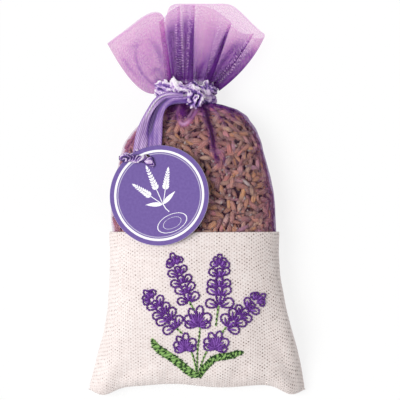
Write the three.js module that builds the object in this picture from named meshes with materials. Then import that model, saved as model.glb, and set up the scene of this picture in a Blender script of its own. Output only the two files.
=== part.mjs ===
import * as THREE from 'three';
import { mergeVertices } from 'three/addons/utils/BufferGeometryUtils.js';

// A lavender sachet lying on its back, in millimetres: +X to its right, +Y to the ruffle, +Z to its front.
// A linen pocket and a sheer organza top hold dried lavender. A satin ribbon gathers the organza at the
// neck and is tied in a knot there. Its two tails run down to a round card tag, which a loop of the same
// ribbon holds through a hole near the rim. A sprig of lavender is stitched on the front of the linen.

const { lerp, clamp, smoothstep, degToRad } = THREE.MathUtils;

// Driving dimensions of the pouch, along Y from the bottom seam
const linenHeight = 68;
const shoulderHeight = 56.8;
const neckHeight = 10.5;
const ruffleHeight = 33.5;
const organzaTuck = 10;

// Driving dimensions of the pouch, across X
const earHalfWidth = 47.5;
const hemHalfWidth = 37.45;
const hemOffset = -1.2;
const neckHalfWidth = 13.3;
const neckOffset = -5.3;
const ruffleHalfSpan = 34.75;

// Heights above the surface that it lies on, and the bulge of the cloth from the seams
const seamHeight = 11;
const earHeight = 1.8;
const bottomSeamHeight = 6.5;
const frontCrown = 17;
const backCrown = 16;
const neckFrontCrown = 7.3;
const neckBackCrown = 7;
const bottomRound = 20;
const hemStep = 8;

// The lower corners and the wavy bottom seam
const earDrop = 4.1;
const bottomWave = 0.8;
const earPlaceShare = 0.88;
const earWidthShare = 0.14;
const bottomWaves = 2;
const bottomLiftShare = 0.35;
const sideLiftShare = 0.5;

// Cloth
const linenThickness = 0.7;
const organzaThickness = 0.35;
const clothGap = 0.3;
const fullnessShare = 2.3;
const linenCrowdShare = 1.5;

// Organza gathers and pleats
const gatherDepth = 0.8;
const gatherReachShare = 0.35;
const gatherCount = 8;
const pleatDepth = 5;
const pleatCount = 6;
const backPleatDepth = 3.6;
const rimSeamHeight = 5;
const frontRimRise = 7;
const sideBulge = 6;
const frontRimDropShare = 0.05;
const neckFadeShare = 1.5;
const openingShare = 0.6;

// Lavender lumps under the cloth
const lumpDepth = 1.1;
const lumpPitch = 9;
const lumpPhase = 2;
const fillCrowdShare = 1.2;
const fillDrawInShare = 0.7;

// Seam threads inside the pouch
const seamRadius = 0.6;
const seamEndGap = 6;
const bottomSeamShare = 0.8;
const hemThreadRadius = 0.2;
const threadGap = 0.15;
const hemSeamInset = 5;

// Satin ribbon
const ribbonWidth = 5.5;
const ribbonThickness = 0.5;
const bunchedWidth = 3;
const drawstringBulk = 2.1;
const drawstringGap = 0.45;
const ruchDepth = 0.6;
const ruchCount = 11;
const knotHalfWidth = 4.4;
const knotHalfLength = 2.6;
const knotHalfDepth = 1.9;
const knotOffset = 4.8;
const knotRise = 2;
const knotLumpShare = 0.16;
const knotLumps = 4;
const tailTurn = degToRad(80);
const leftTailLean = degToRad(14);
const rightTailLean = degToRad(11);
const turnStartShare = 0.1;
const turnEndShare = 0.75;
const spreadStartShare = 0.05;
const spreadEndShare = 0.6;

// Card tag and its ribbon loop
const tagRadius = 21.9;
const tagThickness = 0.8;
const tagHoleRadius = 2.1;
const tagHoleInset = 5;
const tagCentreX = -16.4;
const tagTop = 19;
const tagLean = degToRad(9.6);
const tagDip = degToRad(4.6);
const tagHoleTurn = degToRad(19.4);
const loopWidth = 3;
const loopThickness = 0.6;
const rimSlack = 1.5;
const loopStartInset = 1.14;
const loopRiseShare = 0.4;
const flapWidth = 3.4;
const flapRootShare = 0.83;
const flapStartShare = 0.9;
const flapLength = 3.4;
const flapRise = 0.5;
const flapTurn = degToRad(41);

// Stitched sprig
const sprigHeight = 53.2;
const sprigRise = 5.3;
const sprigOffset = 0.44;
const stitchHeight = 0.5;
const stitchCrown = 0.5;
const stemWidth = 0.8;
const spikeWidth = 8.4;
const floretWidth = 10.8;
const leafWidth = 3.4;
const whorlCount = 4;
const whorlWaistShare = 0.26;
const spikeTaperShare = 0.3;
const spikeRoundShare = 0.45;
const leafRoundShare = 0.6;

// Facet counts
const acrossColumns = 28;
const fillColumns = 20;
const fillRows = 12;
const linenRows = 8;
const sideSeamSteps = 8;
const bottomSeamSteps = 16;
const hemSeamSkip = 2;
const knotSides = 14;
const knotRings = 10;
const drawstringSteps = 44;
const tailSteps = 14;
const tailSides = 8;
const seamSides = 6;
const hemThreadSides = 4;
const tagSides = 28;
const seatRings = 10;
const seatTurns = 36;
const stepsInWhorl = 4;
const leafSteps = 9;
const weldDistance = 0.0005;

// Levels that follow from the sizes above
const bottomY = earDrop - (earDrop + linenHeight + shoulderHeight + neckHeight + ruffleHeight) / 2;
const hemY = bottomY + linenHeight;
const neckY = hemY + shoulderHeight;
const neckTopY = neckY + neckHeight;
const organzaInset = linenThickness + clothGap;
const organzaInnerInset = organzaInset + organzaThickness;
const seamInset = organzaInnerInset + clothGap + seamRadius;
const hemThreadInset = organzaInnerInset + threadGap + hemThreadRadius;
const fillInset = hemThreadInset + hemThreadRadius + clothGap;
const fillEdgeInset = seamInset + seamRadius + clothGap;

// Rows of [place, left, right]: how far each side has gone from its lower width to its upper one
const linenTaperShares = [
  [0, 0, 0],
  [0.2, 0.395, 0.231],
  [0.4, 0.79, 0.569],
  [0.6, 0.97, 0.836],
  [0.8, 1.03, 1],
  [1, 1, 1],
];
const shoulderTaperShares = [
  [0, 0, 0],
  [0.123, -0.03, 0.012],
  [0.246, -0.007, 0.027],
  [0.368, 0.012, 0.065],
  [0.491, 0.112, 0.126],
  [0.614, 0.197, 0.196],
  [0.738, 0.362, 0.267],
  [0.859, 0.681, 0.409],
  [0.93, 0.86, 0.56],
  [0.97, 0.95, 0.76],
  [1, 1, 1],
];

// Rows of [place, share]: how far the crown has gone down from the hem's to the neck's
const crownTaperShares = [
  [0, 0],
  [0.25, 0.01],
  [0.5, 0.1],
  [0.7, 0.26],
  [0.86, 0.52],
  [0.95, 0.8],
  [1, 1],
];

// Rows of [place across, x, y]: the rim of the ruffle, as shares of its half span and its height
const rimShares = [
  [0, -0.987, 0.467],
  [0.13, -0.7, 0.691],
  [0.25, -0.47, 0.861],
  [0.31, -0.32, 0.876],
  [0.34, -0.266, 0.78],
  [0.38, -0.225, 0.927],
  [0.43, -0.127, 0.993],
  [0.57, 0.2, 1],
  [0.72, 0.52, 1],
  [0.82, 0.696, 0.888],
  [1, 1.013, 0.587],
];
const ruffleRowShares = [0.13, 0.32, 0.54, 0.77, 1];
const shoulderRowShares = [0.14, 0.32, 0.5, 0.66, 0.8, 0.9, 0.965, 1];

// Rows of [place along, bulk]: the section of the drawstring, from its lower edge to its upper one
const drawstringShares = [
  [0, 0],
  [0, 0.55],
  [0.22, 1],
  [0.5, 0.8],
  [0.78, 1],
  [1, 0.55],
  [1, 0],
];

// The smooth curve through one column of rows that start with their place
function through(rows, column, place) {
  const last = rows.length - 1;
  let k = 0;
  while (k < last - 1 && place > rows[k + 1][0]) {
    k += 1;
  }
  const slope = (i) => {
    const before = rows[Math.max(i - 1, 0)];
    const after = rows[Math.min(i + 1, last)];
    return (after[column] - before[column]) / (after[0] - before[0]);
  };
  const span = rows[k + 1][0] - rows[k][0];
  const t = clamp((place - rows[k][0]) / span, 0, 1);
  const start = rows[k][column] + slope(k) * span * t;
  const end = rows[k + 1][column] - slope(k + 1) * span * (1 - t);
  const blend = t * t * (3 - 2 * t);
  return lerp(start, end, blend);
}

// A closed body from faces of three or four points, welded and turned so that its faces point out
function closedBody(faces) {
  const corners = [];
  for (const [a, b, c, d] of faces) {
    corners.push(a, b, c);
    if (d) {
      corners.push(a, c, d);
    }
  }
  const body = mergeVertices(new THREE.BufferGeometry().setFromPoints(corners), weldDistance);
  const places = body.getAttribute('position');
  const [a, b, c] = [new THREE.Vector3(), new THREE.Vector3(), new THREE.Vector3()];
  const kept = [];
  let volume = 0;
  for (let i = 0; i < body.index.count; i += 3) {
    const [p, q, r] = [body.index.getX(i), body.index.getX(i + 1), body.index.getX(i + 2)];
    if (p === q || q === r || r === p) {
      continue;
    }
    kept.push(p, q, r);
    a.fromBufferAttribute(places, p);
    b.fromBufferAttribute(places, q);
    c.fromBufferAttribute(places, r);
    volume += a.dot(b.cross(c));
  }
  if (volume < 0) {
    kept.reverse();
  }
  body.setIndex(kept);
  body.computeVertexNormals();
  return body;
}

// A body between two grids of points with the same rows and columns
function shell(outer, inner) {
  const faces = [];
  const top = outer.length - 1;
  const right = outer[0].length - 1;
  for (let r = 0; r < top; r += 1) {
    for (let c = 0; c < right; c += 1) {
      faces.push([outer[r][c], outer[r][c + 1], outer[r + 1][c + 1], outer[r + 1][c]]);
      faces.push([inner[r][c], inner[r + 1][c], inner[r + 1][c + 1], inner[r][c + 1]]);
    }
    faces.push([outer[r][0], outer[r + 1][0], inner[r + 1][0], inner[r][0]]);
    faces.push([outer[r][right], inner[r][right], inner[r + 1][right], outer[r + 1][right]]);
  }
  for (let c = 0; c < right; c += 1) {
    faces.push([outer[0][c], inner[0][c], inner[0][c + 1], outer[0][c + 1]]);
    faces.push([outer[top][c], outer[top][c + 1], inner[top][c + 1], inner[top][c]]);
  }
  return closedBody(faces);
}

// A body through sections with the same number of points, with flat ends or joined into a ring
function loft(sections, ring = false) {
  const faces = [];
  const sides = sections[0].length;
  const spans = ring ? sections.length : sections.length - 1;
  for (let k = 0; k < spans; k += 1) {
    const near = sections[k];
    const far = sections[(k + 1) % sections.length];
    for (let i = 0; i < sides; i += 1) {
      const j = (i + 1) % sides;
      faces.push([near[i], near[j], far[j], far[i]]);
    }
  }
  if (!ring) {
    const first = sections[0];
    const last = sections[sections.length - 1];
    for (let i = 1; i < sides - 1; i += 1) {
      faces.push([first[0], first[i + 1], first[i]]);
      faces.push([last[0], last[i], last[i + 1]]);
    }
  }
  return closedBody(faces);
}

// Places across the pouch run from -1 at the left seam to 1 at the right one, closer at the seams
function across(column, columns) {
  const swing = Math.cos((Math.PI * column) / columns);
  return -Math.sign(swing) * Math.abs(swing) ** (2 / fullnessShare);
}

// A quarter-round rise from 0 to 1, fuller than a circle's
function roundUp(t) {
  return (1 - (1 - clamp(t, 0, 1)) ** fullnessShare) ** (1 / fullnessShare);
}

function arch(x) {
  return (1 - Math.min(Math.abs(x), 1) ** fullnessShare) ** (1 / fullnessShare);
}

// The bottom seam, which dips into an ear near each end
function bottomEdge(x) {
  const ear = Math.exp(-(((Math.abs(x) - earPlaceShare) / earWidthShare) ** 2));
  const wave = Math.sin(bottomWaves * Math.PI * x) * (1 - x * x);
  return bottomY - earDrop * ear - bottomWave * wave;
}

// The left and right seams at a height along the pouch
function seams(y) {
  const hem = [hemOffset - hemHalfWidth, hemOffset + hemHalfWidth];
  const neck = [neckOffset - neckHalfWidth, neckOffset + neckHalfWidth];
  if (y < hemY) {
    const place = clamp((y - bottomY) / linenHeight, 0, 1);
    return [
      lerp(-earHalfWidth, hem[0], through(linenTaperShares, 1, place)),
      lerp(earHalfWidth, hem[1], through(linenTaperShares, 2, place)),
    ];
  }
  const place = clamp((y - hemY) / shoulderHeight, 0, 1);
  return [
    lerp(hem[0], neck[0], through(shoulderTaperShares, 1, place)),
    lerp(hem[1], neck[1], through(shoulderTaperShares, 2, place)),
  ];
}

// The height at which the front and the back meet
function parting(x, y) {
  const up = (y - bottomEdge(x)) / linenHeight;
  const atBottom = lerp(earHeight, bottomSeamHeight, arch(x));
  const atSides = lerp(earHeight, seamHeight, smoothstep(up, 0, sideLiftShare));
  return lerp(atBottom, atSides, smoothstep(up, 0, bottomLiftShare));
}

function crown(y, atHem, atNeck) {
  const place = clamp((y - hemY) / shoulderHeight, 0, 1);
  return lerp(atHem, atNeck, through(crownTaperShares, 1, place));
}

// The dips between gathers, which run down from the neck
function gather(x, y) {
  const reach = smoothstep(y, neckY - gatherReachShare * shoulderHeight, neckY);
  const wave = (1 + Math.cos(gatherCount * Math.PI * x)) / 2;
  return gatherDepth * reach * wave * arch(x);
}

function pouchX(x, y, edgeInset) {
  const [left, right] = seams(y);
  return lerp(left + edgeInset, right - edgeInset, (x + 1) / 2);
}

function frontPoint(x, y, inset, edgeInset = inset) {
  const swell = arch(x) * roundUp((y - bottomEdge(x) - edgeInset) / bottomRound);
  const rise = (crown(y, frontCrown, neckFrontCrown) - inset) * swell - gather(x, y) * swell;
  return new THREE.Vector3(pouchX(x, y, edgeInset), y, parting(x, y) + clothGap / 2 + rise);
}

// The back is flat where it rests: the linen on the surface, the organza a little above it at the hem
function backPoint(x, y, inset, edgeInset = inset) {
  const swell = arch(x) * roundUp((y - bottomEdge(x) - edgeInset) / bottomRound);
  const drop = (crown(y, backCrown, neckBackCrown) - inset) * swell;
  const rest = inset - organzaInset * smoothstep(y, hemY, hemY + hemStep);
  const z = Math.max(rest, parting(x, y) - clothGap / 2 - drop);
  return new THREE.Vector3(pouchX(x, y, edgeInset), y, z);
}

// The front of the linen under a point, which the tag and the stitches lie on
function frontHeight(x, y) {
  const [left, right] = seams(y);
  const place = clamp((2 * (x - left)) / (right - left) - 1, -1, 1);
  return frontPoint(place, y, 0).z;
}

function grid(rows, columns, point) {
  return rows.map((row) => {
    return Array.from({ length: columns + 1 }, (_, column) => point(row, column));
  });
}

function evenShares(count) {
  return Array.from({ length: count + 1 }, (_, k) => k / count);
}

// Linen pocket, front or back
function linenPanel(point) {
  const layer = (inset) => {
    return grid(evenShares(linenRows), acrossColumns, (up, column) => {
      const x = across(column, acrossColumns);
      return point(x, lerp(bottomEdge(x) + inset, hemY, up ** linenCrowdShare), inset);
    });
  };
  return shell(layer(0), layer(linenThickness));
}

// One point of the ruffle: side is 1 for the front and -1 for the back, up runs from neck to rim
function rufflePoint(side, column, up, inset) {
  const x = across(column, acrossColumns);
  const place = column / acrossColumns;
  const middle = Math.sin(Math.PI * place);
  const innerShare = (inset - organzaInset) / organzaThickness;
  const start = (side > 0 ? frontPoint : backPoint)(x, neckTopY, inset);
  const reach = side > 0 ? 1 - frontRimDropShare * middle : 1;
  const rimX = neckOffset + ruffleHalfSpan * through(rimShares, 1, place);
  const rimY = neckTopY + ruffleHeight * through(rimShares, 2, place);
  const bulge = sideBulge * Math.sin(Math.PI * up) * (1 - middle) ** 2;
  const flatX = lerp(start.x, rimX - innerShare * organzaThickness * x, up * reach);
  const flatY = lerp(neckTopY, rimY, up * reach) - bulge;
  const seamZ = lerp(seamHeight, rimSeamHeight, smoothstep(up, 0, 1));
  const neckRise = Math.abs(start.z - seamHeight) - clothGap / 2;
  const open = smoothstep(up, 0, 1);
  const wave = (1 + Math.cos(2 * Math.PI * pleatCount * place + (side * Math.PI) / 2)) / 2;
  const depth = side > 0 ? frontRimRise + pleatDepth * wave : backPleatDepth * wave;
  const outerNeckRise = neckRise + innerShare * organzaThickness * arch(x);
  const outerRise = outerNeckRise * (1 - up) ** neckFadeShare + depth * open * middle ** openingShare;
  const rise = Math.max(outerRise - innerShare * organzaThickness * arch(x), 0);
  const z = seamZ + side * (clothGap / 2 + rise);
  return new THREE.Vector3(flatX, Math.max(flatY, neckTopY + clothGap * up), z);
}

// Organza panel, front or back, in one piece from inside the hem to the rim
function organzaPanel(side) {
  const point = side > 0 ? frontPoint : backPoint;
  const tucked = [hemY - organzaTuck, hemY - organzaTuck / 2, hemY];
  const shoulder = shoulderRowShares.map((share) => hemY + share * shoulderHeight);
  const levels = tucked.concat(shoulder, neckTopY);
  const layer = (inset) => {
    const pouch = grid(levels, acrossColumns, (y, column) => {
      return point(across(column, acrossColumns), y, inset);
    });
    const ruffle = grid(ruffleRowShares, acrossColumns, (up, column) => {
      return rufflePoint(side, column, up, inset);
    });
    return pouch.concat(ruffle);
  };
  return shell(layer(organzaInset), layer(organzaInnerInset));
}

// The dried lavender, one soft lumpy body that fills the pouch to just below the neck
function lavenderFill() {
  const topY = neckY - clothGap;
  const half = (point, phase) => {
    return grid(evenShares(fillRows), fillColumns, (up, column) => {
      const x = across(column, fillColumns);
      const y = lerp(bottomEdge(x) + fillEdgeInset, topY, up ** fillCrowdShare);
      const sway = Math.sin((pouchX(x, y, 0) / lumpPitch) * Math.PI + phase);
      const wave = sway * Math.sin((y / lumpPitch) * Math.PI);
      const shrink = gatherDepth * smoothstep(up, fillDrawInShare, 1) + (lumpDepth * (1 + wave)) / 2;
      const spot = point(x, y, fillInset + shrink, fillEdgeInset);
      if (column === 0 || column === fillColumns || up === 0) {
        spot.z = parting(x, y);
      }
      return spot;
    });
  };
  return shell(half(frontPoint, 0), half(backPoint, lumpPhase));
}

// A round of points about a centre, spanned by two directions with their own half sizes
function oval(centre, first, second, sides) {
  return Array.from({ length: sides }, (_, k) => {
    const turn = (2 * Math.PI * k) / sides;
    return centre.clone().addScaledVector(first, Math.cos(turn)).addScaledVector(second, Math.sin(turn));
  });
}

// Seam threads, each just inside the edges that it joins
function sideSeam(side) {
  const sections = evenShares(sideSeamSteps).map((share) => {
    const y = lerp(bottomY + seamEndGap, hemY - seamEndGap, share);
    const centre = new THREE.Vector3(pouchX(side, y, seamInset), y, parting(side, y));
    const wide = new THREE.Vector3(seamRadius, 0, 0);
    return oval(centre, wide, new THREE.Vector3(0, 0, seamRadius), seamSides);
  });
  return loft(sections);
}

function bottomSeam() {
  const sections = evenShares(bottomSeamSteps).map((share) => {
    const x = lerp(-bottomSeamShare, bottomSeamShare, share);
    const y = bottomEdge(x) + seamInset;
    const centre = new THREE.Vector3(pouchX(x, y, seamInset), y, parting(x, y));
    const wide = new THREE.Vector3(0, seamRadius, 0);
    return oval(centre, wide, new THREE.Vector3(0, 0, seamRadius), seamSides);
  });
  return loft(sections);
}

function hemSeam(point) {
  const y = hemY - hemSeamInset;
  const sections = [];
  for (let column = hemSeamSkip; column <= acrossColumns - hemSeamSkip; column += 1) {
    const centre = point(across(column, acrossColumns), y, hemThreadInset);
    const wide = new THREE.Vector3(0, hemThreadRadius, 0);
    sections.push(oval(centre, wide, new THREE.Vector3(0, 0, hemThreadRadius), hemThreadSides));
  }
  return loft(sections);
}

// The gathered satin ribbon round the neck, with its ruches
const drawstringHalfWidth = neckHalfWidth - organzaInset + clothGap;
const drawstringFront = neckFrontCrown - organzaInset + drawstringGap;
const drawstringBack = neckBackCrown - organzaInset + drawstringGap;

function drawstring() {
  const bottom = neckY + clothGap;
  const top = neckTopY - clothGap;
  const sections = [];
  for (let k = 0; k < drawstringSteps; k += 1) {
    const turn = (2 * Math.PI * k) / drawstringSteps;
    const [swing, rise] = [Math.cos(turn), Math.sin(turn)];
    const x = Math.sign(swing) * Math.abs(swing) ** (2 / fullnessShare);
    const z = Math.sign(rise) * Math.abs(rise) ** (2 / fullnessShare);
    const depth = rise > 0 ? drawstringFront : drawstringBack;
    sections.push(drawstringShares.map(([along, bulk]) => {
      const ruch = (1 + Math.cos(ruchCount * turn + Math.PI * along)) / 2;
      const out = bulk * (drawstringBulk - ruchDepth * ruch);
      return new THREE.Vector3(
        neckOffset + (drawstringHalfWidth + out) * x,
        lerp(bottom, top, along),
        seamHeight + (depth + out) * z,
      );
    }));
  }
  return loft(sections, true);
}

// The knot on the front of the drawstring, a lumpy flattened ball
function ribbonKnot() {
  const knot = new THREE.SphereGeometry(1, knotSides, knotRings);
  const places = knot.getAttribute('position');
  const spot = new THREE.Vector3();
  for (let i = 0; i < places.count; i += 1) {
    spot.fromBufferAttribute(places, i);
    const lump = Math.sin(knotLumps * spot.x) * Math.cos(knotLumps * spot.y);
    spot.multiplyScalar(1 - (knotLumpShare * (1 + lump)) / 2);
    places.setXYZ(i, spot.x, spot.y, spot.z);
  }
  knot.scale(knotHalfWidth, knotHalfLength, knotHalfDepth);
  const z = seamHeight + drawstringFront + drawstringBulk + clothGap + knotHalfDepth;
  knot.translate(neckOffset + knotOffset, neckY + knotRise, z);
  return knot;
}

// A flat ribbon along a smooth route, bunched and turned on edge at its start and lying flat at its end
function ribbon(route, startTurn, endTurn) {
  const curve = new THREE.CatmullRomCurve3(route.map((spot) => new THREE.Vector3(...spot)));
  const sections = evenShares(tailSteps).map((share) => {
    const centre = curve.getPointAt(share);
    const along = curve.getTangentAt(share);
    const level = along.clone().cross(new THREE.Vector3(0, 0, 1)).normalize();
    const steep = along.clone().cross(level).normalize();
    const settled = smoothstep(share, turnStartShare, turnEndShare);
    const turn = lerp(startTurn, endTurn, settled);
    const wide = level.clone().multiplyScalar(Math.cos(turn)).addScaledVector(steep, Math.sin(turn));
    const thin = along.clone().cross(wide).normalize();
    const spread = smoothstep(share, spreadStartShare, spreadEndShare);
    const width = lerp(bunchedWidth, ribbonWidth, spread);
    return oval(centre, wide.setLength(width / 2), thin.setLength(ribbonThickness / 2), tailSides);
  });
  return loft(sections);
}

// Routes of the two ribbon tails, from the knot to the top of the tag
const leftTailRoute = [
  [-6.2, 45.2, 22.6],
  [-9.5, 45.5, 22.7],
  [-13, 45.2, 22.2],
  [-16.4, 44.2, 21],
  [-19.4, 42.2, 19.8],
  [-21.8, 39.4, 19.1],
  [-23.5, 36, 19.2],
  [-24.5, 32.3, 20],
  [-24.9, 28.5, 21.1],
  [-24.9, 25.5, 21.9],
  [-24.8, 22.9, 22.5],
];
const rightTailRoute = [
  [0.6, 40.4, 21.6],
  [-2.6, 40.3, 22],
  [-6, 40.3, 22.3],
  [-9.4, 39.9, 22.2],
  [-12.6, 38.7, 21.9],
  [-15.2, 36.5, 21.7],
  [-17, 33.6, 21.9],
  [-18, 30.2, 22.7],
  [-18.4, 26.6, 23.7],
  [-18.5, 22.9, 24.5],
];

// The card tag, its ribbon loop and the loose ribbon end share the frame of the card's middle
const tagCentreY = neckY - tagTop - tagRadius;
const tagHole = new THREE.Vector2(-Math.sin(tagHoleTurn), Math.cos(tagHoleTurn));
tagHole.multiplyScalar(tagRadius - tagHoleInset);

function tagCard() {
  const outline = new THREE.Shape().absarc(0, 0, tagRadius, 0, 2 * Math.PI);
  outline.holes.push(new THREE.Path().absarc(tagHole.x, tagHole.y, tagHoleRadius, 0, 2 * Math.PI, true));
  const card = new THREE.ExtrudeGeometry(outline, {
    depth: tagThickness,
    bevelEnabled: false,
    curveSegments: tagSides,
  });
  card.translate(0, 0, -tagThickness / 2);
  return card;
}

// The loop comes up under the card, goes through the hole and round the rim, and ends under the card.
// Rows of [x, y, height, quarter turn, width]: x and y are shares of the hole's radius near the hole,
// and of the reach to the rim and the loop's rise beyond it.
const loopHoleShares = [
  [0, 0.6, -1, 0, 1],
  [0, 0.14, -0.6, 0.3, 1],
  [0, 0, 0, 0.7, 1],
  [-0.1, 0, 0.65, 1, 1],
  [-0.6, 0, 1, 1, 1],
];
const loopRimShares = [
  [-0.4, 0.2, 1.3, 1, 0.9],
  [-0.8, 0.7, 1.15, 1, 0.75],
  [-0.96, 1, 0.75, 1, 0.66],
  [-1, 1, 0, 1, 0.66],
  [-0.96, 1, -0.75, 1, 0.66],
  [-0.8, 0.7, -1, 1, 0.75],
  [-0.5, 0.3, -1, 1, 0.9],
];
const loopEndShares = [-0.95, 0, -1, 1, 0.9];

function tagLoop() {
  const level = tagThickness / 2 + clothGap + loopThickness / 2;
  const rim = Math.sqrt(tagRadius ** 2 - tagHole.y ** 2) + tagHole.x;
  const far = rim + rimSlack + loopThickness / 2;
  const lift = loopRiseShare * tagHoleRadius;
  const placed = (rows, xSize, ySize) => {
    return rows.map(([x, y, z, quarter, width]) => [x * xSize, y * ySize, z * level, quarter, width]);
  };
  const stations = [
    [0, tagHoleInset - loopStartInset, -level, 0, 1],
    ...placed(loopHoleShares, tagHoleRadius, tagHoleRadius),
    ...placed(loopRimShares, far, lift),
    ...placed([loopEndShares], tagHoleRadius, tagHoleRadius),
  ];
  const spots = stations.map(([x, y, z]) => new THREE.Vector3(tagHole.x + x, tagHole.y + y, z));
  const sections = spots.map((spot, k) => {
    const before = spots[Math.max(k - 1, 0)];
    const after = spots[Math.min(k + 1, spots.length - 1)];
    const along = after.clone().sub(before).normalize();
    const quarter = (stations[k][3] * Math.PI) / 2;
    const wide = new THREE.Vector3(Math.cos(quarter), Math.sin(quarter), 0);
    wide.addScaledVector(along, -wide.dot(along)).setLength((loopWidth * stations[k][4]) / 2);
    const thin = along.clone().cross(wide).setLength(loopThickness / 2);
    return oval(spot, wide, thin, tailSides);
  });
  return loft(sections);
}

// The loose end of the ribbon, which fans out beside the hole
function ribbonEnd() {
  const heading = new THREE.Vector3(Math.sin(flapTurn), -Math.cos(flapTurn), 0);
  const level = tagThickness / 2 + clothGap + ribbonThickness / 2;
  const side = new THREE.Vector3(-heading.y, heading.x, 0);
  const sections = [0, 0.5, 1].map((share) => {
    const centre = new THREE.Vector3(tagHole.x, tagHole.y, level + share * flapRise);
    centre.addScaledVector(heading, flapStartShare * tagHoleRadius + share * flapLength);
    const half = (flapWidth / 2) * lerp(flapRootShare, 1, share);
    const wide = side.clone().setLength(half);
    return oval(centre, wide, new THREE.Vector3(0, 0, ribbonThickness / 2), tailSides);
  });
  return loft(sections);
}

// The card leans on the crown of the pouch, as low as its flat back can go
function seatTag(frame) {
  frame.rotation.set(-tagDip, -tagLean, 0);
  frame.updateMatrix();
  const lowest = [];
  for (const share of evenShares(seatRings)) {
    for (const turn of evenShares(seatTurns)) {
      const spot = new THREE.Vector3(share * tagRadius, 0, -tagThickness / 2);
      spot.applyAxisAngle(new THREE.Vector3(0, 0, 1), 2 * Math.PI * turn).applyMatrix4(frame.matrix);
      lowest.push(frontHeight(tagCentreX + spot.x, tagCentreY + spot.y) - spot.z);
    }
  }
  frame.position.set(tagCentreX, tagCentreY, Math.max(...lowest) + clothGap);
}

// Stitched pieces follow the front of the linen. A strip's rows are [x, y, half width].
function stitchedStrip(rows) {
  const sections = rows.map(([x, y, half], k) => {
    const before = rows[Math.max(k - 1, 0)];
    const after = rows[Math.min(k + 1, rows.length - 1)];
    const along = new THREE.Vector2(after[0] - before[0], after[1] - before[1]).normalize();
    const spot = (place, lift) => {
      const [px, py] = [x - place * half * along.y, y + place * half * along.x];
      return new THREE.Vector3(px, py, frontHeight(px, py) + clothGap + lift);
    };
    const middle = stitchHeight + stitchCrown * Math.min(1, (2 * half) / spikeWidth);
    return [
      spot(-1, 0),
      spot(0, 0),
      spot(1, 0),
      spot(1, stitchHeight),
      spot(0, middle),
      spot(-1, stitchHeight),
    ];
  });
  return loft(sections);
}

function sprigSpot(xShare, yShare) {
  return [sprigOffset + xShare * sprigHeight, bottomY + sprigRise + yShare * sprigHeight];
}

// Where along a half wave a spike's or a leaf's outline starts, and how much of the wave it takes
const spikeSpanShares = [0.12, 0.82];
const leafSpanShares = [0.1, 0.84];
const floretWidthShares = [0.14, 0.42, 0.8, 1, 0.86, 0.5, 0.3];

function halfWave([from, span], share, round) {
  return Math.sin(Math.PI * (from + span * share)) ** round;
}

// A spike of whorls from its base to its tip, widest low down and waisted between whorls
function spike(base, tip, sizeShare) {
  const start = sprigSpot(...base);
  const end = sprigSpot(...tip);
  const rows = evenShares(stepsInWhorl * whorlCount).map((share) => {
    const outline = halfWave(spikeSpanShares, share, spikeRoundShare) * (1 - spikeTaperShare * share);
    const waist = 1 - (whorlWaistShare * (1 + Math.cos(2 * Math.PI * whorlCount * share))) / 2;
    const half = (spikeWidth / 2) * sizeShare * outline * waist;
    return [lerp(start[0], end[0], share), lerp(start[1], end[1], share), half];
  });
  return stitchedStrip(rows);
}

// A small open floret, narrow at its base and spread at the top
function floret(base, tip, sizeShare) {
  const start = sprigSpot(...base);
  const end = sprigSpot(...tip);
  const rows = floretWidthShares.map((width, k) => {
    const share = k / (floretWidthShares.length - 1);
    const half = (floretWidth / 2) * sizeShare * width;
    return [lerp(start[0], end[0], share), lerp(start[1], end[1], share), half];
  });
  return stitchedStrip(rows);
}

// A stem or leaf along a smooth route of sprig places
function stalk(routeShares, width, widthAt, steps) {
  const spots = routeShares.map(([x, y]) => new THREE.Vector3(...sprigSpot(x, y), 0));
  const curve = new THREE.CatmullRomCurve3(spots);
  const rows = evenShares(steps).map((share) => {
    const spot = curve.getPointAt(share);
    return [spot.x, spot.y, (width / 2) * widthAt(share)];
  });
  return stitchedStrip(rows);
}

function part(name, geometry, color, roughness) {
  const material = new THREE.MeshStandardMaterial({ color, roughness, metalness: 0 });
  const mesh = new THREE.Mesh(geometry, material);
  mesh.name = name;
  return mesh;
}

const sachet = new THREE.Group();
sachet.add(part('linen_front_panel', linenPanel(frontPoint), 0xece2d8, 0.95));
sachet.add(part('linen_back_panel', linenPanel(backPoint), 0xe6dacd, 0.95));
sachet.add(part('organza_front_panel', organzaPanel(1), 0xb080c8, 0.45));
sachet.add(part('organza_back_panel', organzaPanel(-1), 0x9a66b8, 0.45));
sachet.add(part('lavender_fill', lavenderFill(), 0x7d5f55, 0.9));
sachet.add(part('side_seam_left', sideSeam(-1), 0xe8ddd0, 0.9));
sachet.add(part('side_seam_right', sideSeam(1), 0xe8ddd0, 0.9));
sachet.add(part('bottom_seam', bottomSeam(), 0xe8ddd0, 0.9));
sachet.add(part('hem_seam_front', hemSeam(frontPoint), 0xe8ddd0, 0.9));
sachet.add(part('hem_seam_back', hemSeam(backPoint), 0xe8ddd0, 0.9));
sachet.add(part('drawstring_ribbon', drawstring(), 0xa07fd0, 0.3));
sachet.add(part('ribbon_knot', ribbonKnot(), 0xa88ad6, 0.3));
sachet.add(part('ribbon_tail_left', ribbon(leftTailRoute, tailTurn, leftTailLean), 0xa286cc, 0.35));
sachet.add(part('ribbon_tail_right', ribbon(rightTailRoute, tailTurn, rightTailLean), 0xa286cc, 0.35));

const tagFrame = new THREE.Group();
seatTag(tagFrame);
tagFrame.add(part('tag_card', tagCard(), 0x8468b4, 0.7));
tagFrame.add(part('tag_loop', tagLoop(), 0x8a66b8, 0.3));
tagFrame.add(part('ribbon_end', ribbonEnd(), 0xa286cc, 0.3));
sachet.add(tagFrame);

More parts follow.
